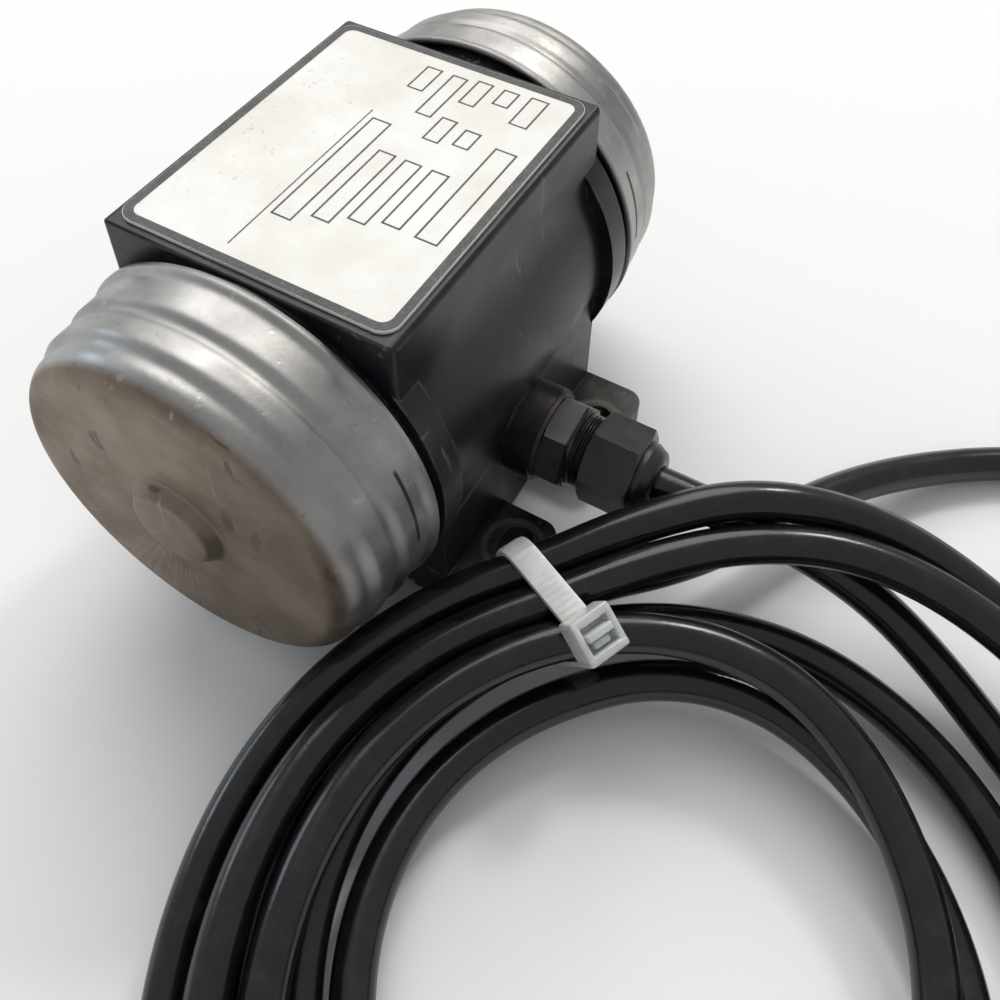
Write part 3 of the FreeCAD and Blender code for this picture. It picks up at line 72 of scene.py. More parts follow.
def make_camera():
    """Looks down on the motor's front, plate and gland side, a little rolled."""
    azimuth, elevation, roll = (math.radians(a) for a in CAMERA_TURN)
    forward = Vector(
        (
            -math.sin(azimuth) * math.cos(elevation),
            math.cos(azimuth) * math.cos(elevation),
            -math.sin(elevation),
        )
    )
    level = forward.cross(Vector((0, 0, 1))).normalized()
    plumb = forward.cross(level)
    right = level * math.cos(roll) - plumb * math.sin(roll)
    down = level * math.sin(roll) + plumb * math.cos(roll)
    aim = Vector((0, 0, MOTOR_AXIS))
    camera = bpy.data.objects.new("camera", bpy.data.cameras.new("camera"))
    bpy.context.scene.collection.objects.link(camera)
    turned = Matrix((right, -down, -forward)).transposed().to_4x4()
    to_right, to_down, ahead = CAMERA_TO_MOTOR
    place = aim - (right * to_right + down * to_down + forward * ahead) * MM
    camera.matrix_world = Matrix.Translation(place) @ turned
    camera.data.sensor_width = SENSOR
    camera.data.lens = LENS
    camera.data.shift_y = FRAME_SHIFT
    camera.data.clip_start = 0.01
    bpy.context.scene.camera = camera


make_camera()


# ---------------------------------------------------------------- cable

COIL_CENTRE = (92.0, -70.0)
TIE_ANGLE = 134.0
CABLE_RADIUS = 3.4
# lowest gap between cable and floor
FLOOR_GAP = 0.05

# from the gland's nose down beside the coil
LEAD = [
    (58.3, 0.0, 22.4),
    (67.0, 0.0, 22.4),
    (78.0, 1.6, 20.6),
    (89.0, 2.8, 17.4),
    (100.5, 2.0, 14.0),
    (112.0, -2.2, 11.0),
    (123.5, -8.6, 8.6),
]
# the coil's loose turns: turns wound since the tie is first passed, distance from the coil's
# middle, height
TURNS = [
    (-0.75, 71.0, 5.8),
    (-0.65, 69.0, 4.0),
    (-0.5, 66.0, 3.6),
    (-0.25, 70.0, 4.2),
    (-0.13, 69.0, 11.5),
    (-0.06, 66.4, 17.0),
    (0.0, 64.4, 20.6),
    (0.035, 67.0, 24.6),
    (0.065, 70.2, 29.2),
    (0.10, 75.8, 29.2),
    (0.14, 81.8, 22.5),
    (0.20, 84.2, 14.5),
    (0.28, 83.5, 8.5),
    (0.38, 81.0, 5.0),
    (0.5, 75.8, 4.5),
    (0.58, 71.5, 10.6),
    (0.68, 65.0, 11.2),
    (0.75, 63.5, 11.0),
    (0.88, 61.0, 16.0),
    (1.0, 57.5, 20.6),
    (1.035, 60.2, 22.6),
    (1.065, 63.4, 25.0),
    (1.10, 69.0, 26.0),
    (1.14, 74.4, 24.6),
    (1.20, 77.8, 20.2),
    (1.28, 77.0, 15.0),
    (1.38, 70.0, 11.4),
    (1.5, 60.5, 10.8),
    (1.75, 56.0, 11.0),
    (1.88, 53.2, 16.0),
    (2.0, 50.6, 20.4),
    (2.06, 50.6, 19.5),
    (2.115, 49.8, 17.4),
    (2.164, 46.3, 15.2),
    (2.214, 42.3, 13.0),
    (2.29, 38.2, 10.0),
    (2.35, 36.4, 7.6),
    (2.42, 36.0, 5.0),
    (2.55, 38.0, 3.6),
    (2.75, 43.0, 4.0),
    (2.88, 45.0, 6.4),
    (3.0, 45.6, 9.6),
    (3.06, 48.0, 9.6),
    (3.12, 48.8, 8.2),
    (3.19, 46.6, 6.2),
    (3.25, 45.0, 4.8),
    (3.35, 44.0, 3.8),
    (3.5, 46.0, 3.6),
    (3.75, 50.4, 4.0),
    (3.88, 53.2, 8.5),
    (4.0, 54.5, 13.6),
    (4.06, 57.2, 11.4),
    (4.12, 59.8, 9.4),
    (4.19, 60.2, 7.0),
    (4.25, 59.2, 5.0),
    (4.35, 57.0, 3.8),
    (4.5, 56.8, 3.6),
    (4.75, 59.2, 4.0),
    (4.88, 61.0, 8.5),
    (4.98, 62.4, 13.2),
    (5.0, 62.6, 13.6),
]
# out of the tied bundle, under the lead and away over the table
TAIL = [
    (56.0, -17.9, 13.4),
    (63.2, -11.0, 13.0),
    (69.6, -3.2, 12.4),
    (75.0, 5.4, 11.8),
    (80.0, 14.8, 10.8),
    (85.6, 24.6, 9.0),
    (92.6, 34.4, 6.8),
    (101.0, 43.6, 4.6),
    (111.0, 51.6, 3.6),
    (122.4, 57.6, 3.5),
    (134.5, 60.5, 3.5),
    (146.5, 60.5, 3.5),
]
POINTS_PER_TURN = 24
# share of a turn that is left for the bend into the tail
LAST_BEND = 0.03


def smooth_between(rows, place, column, share):
    """Value of a column a share of the way between two rows, with no kink at either."""
    low, high = rows[place], rows[place + 1]
    span = high[0] - low[0]

    def slope(i):
        before, after = rows[max(i - 1, 0)], rows[min(i + 1, len(rows) - 1)]
        return (after[column] - before[column]) / (after[0] - before[0]) * span

    a, b, c = share, share**2, share**3
    return (
        (2 * c - 3 * b + 1) * low[column]
        + (c - 2 * b + a) * slope(place)
        + (3 * b - 2 * c) * high[column]
        + (c - b) * slope(place + 1)
    )


def turn_points():
    """Points round the coil, clockwise from above."""
    points, row = [], 0
    steps = int((TURNS[-1][0] - TURNS[0][0] - LAST_BEND) * POINTS_PER_TURN)
    for step in range(steps + 1):
        turn = TURNS[0][0] + step / POINTS_PER_TURN
        while row < len(TURNS) - 2 and turn >= TURNS[row + 1][0]:
            row += 1
        share = (turn - TURNS[row][0]) / (TURNS[row + 1][0] - TURNS[row][0])
        out, height = (smooth_between(TURNS, row, column, share) for column in (1, 2))
        angle = math.radians(TIE_ANGLE - 360 * turn)
        x = COIL_CENTRE[0] + out * math.cos(angle)
        y = COIL_CENTRE[1] + out * math.sin(angle)
        points.append((x, y, max(height, CABLE_RADIUS + FLOOR_GAP)))
    return points


def make_cable():
    """One cable from the gland round the coil and out to its bare end."""
    curve = bpy.data.curves.new("power_cable", "CURVE")
    curve.dimensions = "3D"
    points = LEAD + turn_points() + TAIL
    spline = curve.splines.new("NURBS")
    spline.points.add(len(points) - 1)
    for point, place in zip(spline.points, points):
        point.co = (*(c * MM for c in place), 1.0)
        # the thickness is set per point, because Blender adds this radius to the curve's bounds
        point.radius = CABLE_RADIUS * MM
    spline.order_u = 3
    spline.use_endpoint_u = True
    spline.resolution_u = 8
    curve.bevel_depth = 1.0
    curve.bevel_resolution = 6
    curve.use_fill_caps = True
    cable = bpy.data.objects.new("power_cable", curve)
    bpy.context.scene.collection.objects.link(cable)
    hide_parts("lead_cable", "cable_coil", "tail_cable")
    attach(cable, "motor")
    return cable


cable = make_cable()


# ---------------------------------------------------------------- cable tie

TIE_WIDTH = 4.8
STRAP_THICKNESS = 1.1
STRAP_SLACK = 0.15
# distance from the coil's middle to the tie's, and the tie's turn from square to the strands
TIE_MIDDLE = 57.0
TIE_SKEW = 22.0
# the strands at the bundle's corners: distance outward from the tie's middle, height
BUNDLE = [(-2.8, 13.45), (5.8, 13.45), (8.0, 20.5), (-6.9, 20.2)]
INNER_STRAND = BUNDLE[3]
# the strap's section: share of its width, share of its thickness
STRAP_SECTION = ((-0.5, 0.0), (-0.5, 0.85), (-0.36, 1.0), (0.36, 1.0), (0.5, 0.85), (0.5, 0.0))
STRAP_STEP = 0.4
RIB_DEPTH = 0.12
STEPS_PER_RIB = 3
BEND_STEPS = 8
HEAD_TILT = 33.0
HEAD_GAP = 0.2
# the head's blocks, round the strap's window: low corner, high corner, rounding of the edges
HEAD_BLOCKS = {
    "inner wall": ((-3.8, -3.8, 0.0), (-2.3, 3.8, 5.2), 0.45),
    "outer wall": ((2.2, -3.8, 0.0), (3.8, 3.8, 5.0), 0.45),
    "first side": ((-3.3, -3.8, 0.0), (3.3, -2.6, 5.1), 0.4),
    "second side": ((-3.3, 2.6, 0.0), (3.3, 3.8, 5.1), 0.4),
    "bottom": ((-3.1, -3.3, 0.0), (3.1, 3.3, 2.4), 0.3),
    "cut end": ((-0.2, -TIE_WIDTH / 2, 1.0), (1.0, TIE_WIDTH / 2, 5.9), 0.2),
    "pawl": ((-1.8, -1.5, 2.0), (-0.7, 1.5, 4.4), 0.25),
}
SHARP_ANGLE = 35


def tie_frame():
    """Across the strands, along them and up, with the strap a little askew."""
    radial = math.radians(TIE_ANGLE)
    angle = math.radians(TIE_ANGLE + TIE_SKEW)
    out = Vector((math.cos(angle), math.sin(angle), 0))
    along = Vector((math.sin(angle), -math.cos(angle), 0))
    coil = Vector((*COIL_CENTRE, 0))
    middle = (coil + TIE_MIDDLE * Vector((math.cos(radial), math.sin(radial), 0))) * MM
    turned = Matrix((out, along, Vector((0, 0, 1)))).transposed().to_4x4()
    return Matrix.Translation(middle) @ turned


def strap_line(offset):
    """Closed line pulled tight round the bundle, a distance from the strands' middles."""
    places = []
    count = len(BUNDLE)
    for i, (x, z) in enumerate(BUNDLE):
        before, after = BUNDLE[i - 1], BUNDLE[(i + 1) % count]
        start = math.atan2(z - before[1], x - before[0]) - math.pi / 2
        end = math.atan2(after[1] - z, after[0] - x) - math.pi / 2
        while end < start:
            end += 2 * math.pi
        for step in range(BEND_STEPS + 1):
            angle = start + (end - start) * step / BEND_STEPS
            places.append((x + offset * math.cos(angle), z + offset * math.sin(angle)))
    return places


def resampled(places, step):
    """The closed line at even steps."""
    spread = []
    for i, (x, z) in enumerate(places):
        x_next, z_next = places[(i + 1) % len(places)]
        pieces = max(1, round(math.hypot(x_next - x, z_next - z) / step))
        for k in range(pieces):
            spread.append((x + (x_next - x) * k / pieces, z + (z_next - z) * k / pieces))
    return spread


def make_strap(mesh):
    """Flat strap with fine ribs across its outer face."""
    inner = resampled(strap_line(CABLE_RADIUS + STRAP_SLACK), STRAP_STEP)
    count = len(inner)
    middle = Vector((sum(p[0] for p in inner) / count, sum(p[1] for p in inner) / count))
    rings = []
    for i, place in enumerate(inner):
        before, after = Vector(inner[i - 1]), Vector(inner[(i + 1) % count])
        outward = (after - before).normalized()
        outward = Vector((outward.y, -outward.x))
        if outward.dot(Vector(place) - middle) < 0:
            outward.negate()
        groove = RIB_DEPTH if i % STEPS_PER_RIB == 0 else 0.0
        ring = []
        for across, out in STRAP_SECTION:
            thickness = out * STRAP_THICKNESS - (groove if out == 1.0 else 0.0)
            x, z = Vector(place) + outward * thickness
            ring.append(mesh.verts.new(Vector((x, across * TIE_WIDTH, z)) * MM))
        rings.append(ring)
    for i, ring in enumerate(rings):
        following = rings[(i + 1) % count]
        for k in range(len(ring)):
            after = (k + 1) % len(ring)
            mesh.faces.new((ring[k], following[k], following[after], ring[after]))


def add_block(mesh, low, high, edge):
    """A block with rounded edges, between two corners in millimetres."""
    made = bmesh.ops.create_cube(mesh, size=1.0)["verts"]
    size = [b - a for a, b in zip(low, high)]
    middle = [(a + b) / 2 for a, b in zip(low, high)]
    for vert in made:
        vert.co = Vector([(m + c * s) * MM for m, c, s in zip(middle, vert.co, size)])
    edges = list({e for v in made for e in v.link_edges})
    bmesh.ops.bevel(mesh, geom=edges, offset=edge * MM, segments=3, affect="EDGES", profile=0.5)


def make_head(mesh):
    """Head on the inner shoulder: walls round the strap's window, the pawl and the cut end."""
    for low, high, edge in HEAD_BLOCKS.values():
        add_block(mesh, low, high, edge)
    tilt = Matrix.Rotation(math.radians(-HEAD_TILT), 4, "Y")
    at_strand = Matrix.Translation(Vector((INNER_STRAND[0], 0, INNER_STRAND[1])) * MM)
    raised = Matrix.Translation(Vector((0, 0, CABLE_RADIUS + HEAD_GAP)) * MM)
    mesh.transform(at_strand @ tilt @ raised)


def make_tie():
    """Strap round five strands of the coil, with its head above the innermost of them."""
    data = bpy.data.meshes.new("tie")
    mesh = bmesh.new()
    make_head(mesh)
    make_strap(mesh)
    bmesh.ops.recalc_face_normals(mesh, faces=mesh.faces)
    mesh.to_mesh(data)
    mesh.free()
    data.transform(tie_frame())
    tie = bpy.data.objects.new("tie", data)
    bpy.context.scene.collection.objects.link(tie)
    data.shade_smooth()
    data.set_sharp_from_angle(angle=math.radians(SHARP_ANGLE))
    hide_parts("cable_tie")
    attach(tie, "motor")
    return tie


tie = make_tie()


# ---------------------------------------------------------------- material building


class Material:
    """A Principled material and short ways to add texture nodes to it."""

    def __init__(self, name, colour, roughness, metallic=0.0):
        self.made = bpy.data.materials.new(name)
        self.made.use_nodes = True
        self.tree = self.made.node_tree
        self.shader = self.tree.nodes["Principled BSDF"]
        self.set("Base Color", (*colour, 1.0))
        self.set("Roughness", roughness)
        self.set("Metallic", metallic)
        self.made.diffuse_color = (*colour, 1.0)

    def set(self, socket, value):
        self.shader.inputs[socket].default_value = value

    def feed(self, socket, output):
        self.tree.links.new(output, self.shader.inputs[socket])

    def node(self, kind, inputs=(), **settings):
        """A new node, each input linked to an output or set to a value."""
        made = self.tree.nodes.new(kind)
        for key, value in settings.items():
            setattr(made, key, value)
        for socket, value in dict(inputs).items():
            if isinstance(value, bpy.types.NodeSocket):
                self.tree.links.new(value, made.inputs[socket])
            else:
                made.inputs[socket].default_value = value
        return made

    def place(self):
        """Place on the object, in metres."""
        return self.node("ShaderNodeTexCoord").outputs["Object"]

    def axes(self):
        return self.node("ShaderNodeSeparateXYZ", {0: self.place()}).outputs[0:3]

    def mapped(self, stretch, turn):
        turned = [math.radians(a) for a in turn]
        inputs = {"Vector": self.place(), "Scale": stretch, "Rotation": turned}
        return self.node("ShaderNodeMapping", inputs).outputs[0]

    def noise(self, scale, detail, rough=0.55, stretch=(1, 1, 1), turn=(0, 0, 0)):
        """Noise from 0 to 1, longest along the axis whose stretch is smallest."""
        inputs = {"Scale": scale, "Detail": detail, "Roughness": rough}
        inputs["Vector"] = self.mapped(stretch, turn)
        return self.node("ShaderNodeTexNoise", inputs).outputs[0]

    def math(self, operation, a, b=0.0):
        return self.node("ShaderNodeMath", {0: a, 1: b}, operation=operation).outputs[0]

    def between(self, value, low, high, to_low=0.0, to_high=1.0):
        """Value from one range to another, held at its ends."""
        inputs = {0: value, 1: low, 2: high, 3: to_low, 4: to_high}
        return self.node("ShaderNodeMapRange", inputs).outputs[0]

    def times(self, first, *others):
        """Product of values."""
        product = first
        for value in others:
            product = self.math("MULTIPLY", product, value)
        return product

    def mix(self, share, a, b):
        """Colour a, with a share of colour b."""
        made = self.node("ShaderNodeMix", data_type="RGBA")
        for index, value in ((0, share), (6, a), (7, b)):
            if isinstance(value, bpy.types.NodeSocket):
                self.tree.links.new(value, made.inputs[index])
            elif index:
                made.inputs[index].default_value = (*value, 1.0)
            else:
                made.inputs[index].default_value = value
        return made.outputs[2]

    def rough(self, scale, detail, low, high):
        """Roughness that wanders between two values."""
        return self.between(self.noise(scale, detail), 0.3, 0.7, low, high)

    def scratches(self, scale, stretch, turn, low, high):
        """Thin straight marks, 0 to 1."""
        return self.between(self.noise(scale, 2.0, 0.5, stretch, turn), low, high)

    def edges(self, radius):
        """1 on convex and concave edges, 0 on smooth faces."""
        bevel = self.node("ShaderNodeBevel", {"Radius": radius}, samples=4).outputs[0]
        normal = self.node("ShaderNodeNewGeometry").outputs["Normal"]
        dot = self.node("ShaderNodeVectorMath", {0: bevel, 1: normal}, operation="DOT_PRODUCT")
        return self.between(dot.outputs["Value"], 0.995, 0.90)

    def bump(self, height, strength, distance, normal=None):
        """Relief on the surface, over that of an earlier normal."""
        inputs = {"Height": height, "Strength": strength, "Distance": distance}
        if normal is not None:
            inputs["Normal"] = normal
        made = self.node("ShaderNodeBump", inputs).outputs[0]
        self.feed("Normal", made)
        return made


# the rubbed part of the lugs: past the pedestal's side and up to just above their tops
LUG_START = 0.0318
LUG_TOP = 0.0092
# the middle of a slot, and the ring that a washer has rubbed round it, with how far it fades
SLOT_X, SLOT_Y = 0.0385, 0.0165
WASHER_INNER, WASHER_OUTER = 0.0047, 0.0064
WASHER_FADE = 0.0005


def lug_wear(m):
    """Where the lugs are rubbed grey-brown: in patches all over, and in rings where washers sat."""
    x, y, z = m.axes()
    out = m.math("ABSOLUTE", x)
    beside = m.math("ABSOLUTE", y)
    past_start = m.between(out, LUG_START, LUG_START + 0.0012)
    on_lug = m.times(past_start, m.between(z, LUG_TOP + 0.0008, LUG_TOP))
    away_x = m.math("SUBTRACT", out, SLOT_X)
    away_y = m.math("SUBTRACT", beside, SLOT_Y)
    squares = m.math("ADD", m.times(away_x, away_x), m.times(away_y, away_y))
    away = m.math("SQRT", squares)
    ring = m.times(
        m.between(away, WASHER_INNER, WASHER_INNER + WASHER_FADE),
        m.between(away, WASHER_OUTER, WASHER_OUTER - WASHER_FADE),
    )
    patchy = m.between(m.noise(260, 6.0, 0.7), 0.38, 0.66)
    rubbed = m.math("ADD", m.times(patchy, 0.45), m.times(ring, 0.55))
    return m.times(on_lug, rubbed)


def black_paint():
    """Semi-gloss paint on a casting: orange peel, fine scratches, dust and rubbed edges."""
    m = Material("black_paint", (0.020, 0.021, 0.025), 0.4)
    m.set("Specular IOR Level", 0.3)
    dust = m.between(m.noise(90, 6.0), 0.45, 0.75)
    colour = m.mix(dust, (0.009, 0.010, 0.013), (0.024, 0.024, 0.026))
    first = m.scratches(420, (1, 0.03, 1), (38, 0, 0), 0.66, 0.71)
    second = m.scratches(380, (1, 1, 0.03), (-30, 0, 0), 0.67, 0.72)
    marks = m.math("MAXIMUM", first, second)
    marks = m.times(marks, m.between(m.noise(45, 3.0), 0.42, 0.58))
    colour = m.mix(m.times(marks, 0.6), colour, (0.14, 0.15, 0.17))
    colour = m.mix(lug_wear(m), colour, (0.15, 0.132, 0.112))
    worn = m.times(m.edges(0.0007), m.between(m.noise(170, 5.0), 0.48, 0.62))
    colour = m.mix(m.times(worn, 0.7), colour, (0.13, 0.13, 0.135))
    m.feed("Base Color", colour)
    m.feed("Roughness", m.rough(55, 5.0, 0.26, 0.46))
    peel = m.noise(1100, 2.0)
    height = m.math("SUBTRACT", peel, m.times(marks, 0.8))
    m.bump(height, 0.12, 0.0002)
    return m.made


# distances from the motor's middle along its axis: where a cap's face colour starts, its lance
CAP_CORNER = 0.0533
LANCE_AT = 0.0393
LANCE_HALF_WIDTH = 0.00025
# the lance's ends round the motor's axis, in radians up from level
LANCE_LOW, LANCE_HIGH = 0.0, 0.45


def lance_mask(m, angle, away):
    """The short lance that is pressed in beside a cap's rim: its dent, and where painted shade
    darkens the cap.
    """
    ends = m.times(
        m.between(angle, LANCE_LOW - 0.02, LANCE_LOW),
        m.between(angle, LANCE_HIGH + 0.02, LANCE_HIGH),
    )
    side = m.math("ABSOLUTE", m.math("SUBTRACT", away, LANCE_AT))
    return m.times(ends, m.between(side, LANCE_HALF_WIDTH + 0.0002, LANCE_HALF_WIDTH))


def pull_marks(m, angle, z):
    """Streaks that run out from the button over the lower half of a cap's face."""
    along = {0: m.times(angle, 9.0), 1: m.times(z, 12.0)}
    streaks = m.node("ShaderNodeCombineXYZ", along).outputs[0]
    inputs = {"Vector": streaks, "Scale": 3.0, "Detail": 2.0}
    marks = m.node("ShaderNodeTexNoise", inputs).outputs[0]
    return m.times(marks, m.between(z, MOTOR_AXIS, MOTOR_AXIS - 0.02))


def drawn_steel():
    """Drawn sheet: dull and stained, its band grey, its end face brown with dark marks, its lance
    darkened with painted shade.
    """
    m = Material("drawn_steel", (0.45, 0.44, 0.42), 0.38, 1.0)
    x, y, z = m.axes()
    away = m.math("ABSOLUTE", y)
    angle = m.math("ARCTAN2", m.math("SUBTRACT", z, MOTOR_AXIS), x)
    on_face = m.between(away, CAP_CORNER, CAP_CORNER + 0.001)
    stain = m.between(m.noise(42, 6.0, 0.65), 0.38, 0.66)
    band = m.mix(stain, (0.40, 0.395, 0.385), (0.27, 0.262, 0.252))
    face = m.mix(stain, (0.265, 0.218, 0.176), (0.155, 0.122, 0.095))
    marks = m.scratches(900, (0.30, 1, 0.10), (0, -52, 0), 0.64, 0.68)
    marks = m.times(marks, m.between(m.noise(70, 3.0), 0.50, 0.60))
    face = m.mix(m.times(marks, 0.5), face, (0.045, 0.036, 0.03))
    colour = m.mix(on_face, band, face)
    specks = m.between(m.noise(420, 5.0, 0.7), 0.62, 0.72)
    colour = m.mix(m.times(specks, 0.5), colour, (0.16, 0.13, 0.11))
    hairs = m.math(
        "MAXIMUM",
        m.scratches(420, (0.05, 1, 1), (0, 34, 0), 0.69, 0.74),
        m.scratches(380, (1, 1, 0.05), (0, -22, 0), 0.70, 0.75),
    )
    colour = m.mix(m.times(hairs, 0.28), colour, (0.60, 0.59, 0.57))
    lance = lance_mask(m, angle, away)
    # painted shade: the lance is coloured near-black as if shaded inside its pressed slit, besides
    # its bump below
    colour = m.mix(lance, colour, (0.06, 0.055, 0.05))
    m.feed("Base Color", colour)
    m.feed("Roughness", m.math("ADD", m.rough(130, 5.0, 0.32, 0.52), m.times(on_face, 0.14)))
    pulled = m.times(pull_marks(m, angle, z), on_face)
    waves = m.math("ADD", m.noise(30, 2.0), m.times(pulled, 1.3))
    # the band's beads are rolled soft, the face is crisp
    soft = m.node("ShaderNodeBevel", {"Radius": 0.0016}, samples=6).outputs[0]
    crisp = m.node("ShaderNodeNewGeometry").outputs["Normal"]
    normals = {0: on_face, 4: soft, 5: crisp}
    normal = m.node("ShaderNodeMix", normals, data_type="VECTOR").outputs[1]
    first = m.bump(waves, 0.5, 0.0006, normal)
    grain = m.math("SUBTRACT", m.noise(900, 3.0, 0.6), hairs)
    grain = m.math("SUBTRACT", grain, m.times(lance, 3.0))
    m.bump(grain, 0.16, 0.00015, first)
    return m.made


def plate_print():
    """Printed matt plate, cream with age, with rust specks toward one side."""
    m = Material("plate", (0.82, 0.81, 0.76), 0.45)
    x, y = m.axes()[0:2]
    aged = m.between(m.noise(60, 6.0, 0.6), 0.35, 0.7)
    colour = m.mix(aged, (0.84, 0.84, 0.81), (0.72, 0.70, 0.63))
    side = m.times(
        m.between(x, 0.004, -0.022),
        m.between(m.math("ABSOLUTE", y), 0.034, 0.012),
    )
    specks = m.between(m.noise(700, 6.0, 0.75), 0.60, 0.68)
    colour = m.mix(m.times(specks, side, 0.75), colour, (0.36, 0.25, 0.15))
    faint = m.between(m.noise(1300, 4.0, 0.7), 0.60, 0.75)
    colour = m.mix(m.times(faint, 0.35), colour, (0.50, 0.45, 0.38))
    m.feed("Base Color", colour)
    m.feed("Roughness", m.rough(150, 4.0, 0.34, 0.52))
    m.bump(m.noise(1400, 2.0), 0.06, 0.0001)
    return m.made


def plate_ink():
    """Black print, rubbed thin in places."""
    m = Material("plate_ink", (0.02, 0.02, 0.022), 0.42)
    gaps = m.between(m.noise(1500, 5.0, 0.7), 0.52, 0.70)
    colour = m.mix(m.times(gaps, 0.35), (0.018, 0.018, 0.02), (0.30, 0.29, 0.27))
    m.feed("Base Color", colour)
    m.feed("Roughness", m.rough(300, 3.0, 0.36, 0.5))
    return m.made


def cable_sheath():
    """Black sheath with a satin, slightly uneven skin and a little dust."""
    m = Material("cable_sheath", (0.013, 0.013, 0.015), 0.26)
    m.set("Specular IOR Level", 0.5)
    dust = m.between(m.noise(210, 6.0, 0.65), 0.50, 0.78)
    m.feed("Base Color", m.mix(dust, (0.006, 0.006, 0.007), (0.018, 0.017, 0.017)))
    m.feed("Roughness", m.rough(95, 5.0, 0.15, 0.28))
    m.bump(m.noise(650, 4.0, 0.6), 0.10, 0.00025)
    return m.made


# the gland's bare thread, between its body's hexagon and its nut
THREAD_LOW, THREAD_HIGH = 0.0421, 0.0458
THREAD_PITCH = 0.0011


def black_nylon():
    """Moulded nylon, with a fine grain, lighter scuffs on its corners and the gland's thread."""
    m = Material("black_nylon", (0.011, 0.011, 0.012), 0.33)
    scuffs = m.times(m.edges(0.0005), m.between(m.noise(400, 4.0), 0.42, 0.65))
    tone = m.between(m.noise(160, 5.0), 0.4, 0.75)
    base = m.mix(tone, (0.011, 0.011, 0.012), (0.0176, 0.0176, 0.0192))
    m.feed("Base Color", m.mix(m.times(scuffs, 0.6), base, (0.10, 0.10, 0.105)))
    m.feed("Roughness", m.rough(240, 4.0, 0.24, 0.41))
    x = m.axes()[0]
    thread = m.math("SINE", m.times(x, 2 * math.pi / THREAD_PITCH))
    bare = m.times(
        m.between(x, THREAD_LOW, THREAD_LOW + 0.0003),
        m.between(x, THREAD_HIGH, THREAD_HIGH - 0.0002),
    )
    first = m.bump(m.times(thread, bare), 0.9, 0.0004)
    m.bump(m.noise(1500, 3.0), 0.10, 0.00012, first)
    return m.made


def clear_nylon():
    """Natural nylon: milky, a little translucent."""
    m = Material("clear_nylon", (0.80, 0.81, 0.80), 0.34)
    m.set("Subsurface Weight", 0.35)
    m.set("Subsurface Radius", (0.0022, 0.0022, 0.0020))
    m.set("Transmission Weight", 0.30)
    m.set("IOR", 1.53)
    tone = m.between(m.noise(320, 4.0), 0.35, 0.7)
    m.feed("Base Color", m.mix(tone, (0.80, 0.83, 0.86), (0.68, 0.68, 0.64)))
    m.feed("Roughness", m.rough(500, 3.0, 0.28, 0.42))
    m.bump(m.noise(1200, 2.0), 0.08, 0.0001)
    return m.made


def metal(name, colour, roughness, stretch=(1, 1, 1), tint=0.75):
    """Turned or rolled metal with fine tool marks and slight staining."""
    m = Material(name, colour, roughness, 1.0)
    stain = m.between(m.noise(120, 5.0, 0.6), 0.4, 0.7)
    m.feed("Base Color", m.mix(stain, colour, tuple(c * tint for c in colour)))
    m.feed("Roughness", m.rough(260, 4.0, roughness - 0.07, roughness + 0.08))
    m.bump(m.noise(700, 3.0, 0.6, stretch), 0.14, 0.00012)
    return m.made


def plain(name, colour, roughness, spread=1.5):
    """Plastic, rubber, resin or varnish with a mottled tone and fine grain."""
    m = Material(name, colour, roughness)
    tone = m.between(m.noise(260, 5.0, 0.6), 0.38, 0.7)
    m.feed("Base Color", m.mix(tone, colour, tuple(min(c * spread, 1.0) for c in colour)))
    m.feed("Roughness", m.rough(520, 3.0, roughness - 0.08, roughness + 0.08))
    m.bump(m.noise(1040, 3.0), 0.12, 0.00015)
    return m.made


def wound_copper():
    """Varnished wire: fine strands side by side."""
    m = Material("enamelled_copper", (0.50, 0.19, 0.07), 0.3, 1.0)
    strands = m.noise(2600, 2.0, 0.5, (1, 0.06, 1))
    wire = m.between(strands, 0.4, 0.6)
    m.feed("Base Color", m.mix(wire, (0.34, 0.11, 0.04), (0.62, 0.27, 0.11)))
    m.feed("Roughness", m.rough(400, 3.0, 0.24, 0.4))
    m.bump(strands, 0.5, 0.0003)
    return m.made


def laminations():
    """Edges of thin stacked sheets."""
    m = Material("laminations", (0.30, 0.31, 0.33), 0.42, 1.0)
    inputs = {"Vector": m.place(), "Scale": 320.0, "Distortion": 0.4}
    layers = m.node("ShaderNodeTexWave", inputs, bands_direction="Y")
    m.feed("Base Color", m.mix(layers.outputs[0], (0.17, 0.17, 0.18), (0.36, 0.37, 0.39)))
    m.feed("Roughness", m.rough(300, 4.0, 0.34, 0.52))
    m.bump(layers.outputs[0], 0.4, 0.0002)
    return m.made


def earth_core():
    """Green insulation with a yellow stripe."""
    m = Material("core_earth", (0.10, 0.34, 0.06), 0.35)
    stripe = m.between(m.noise(260, 0.0, 0.5, (0.12, 1, 1)), 0.47, 0.49)
    m.feed("Base Color", m.mix(stripe, (0.07, 0.30, 0.05), (0.74, 0.62, 0.05)))
    m.feed("Roughness", m.rough(700, 3.0, 0.28, 0.42))
    m.bump(m.noise(1200, 3.0), 0.08, 0.0001)
    return m.made


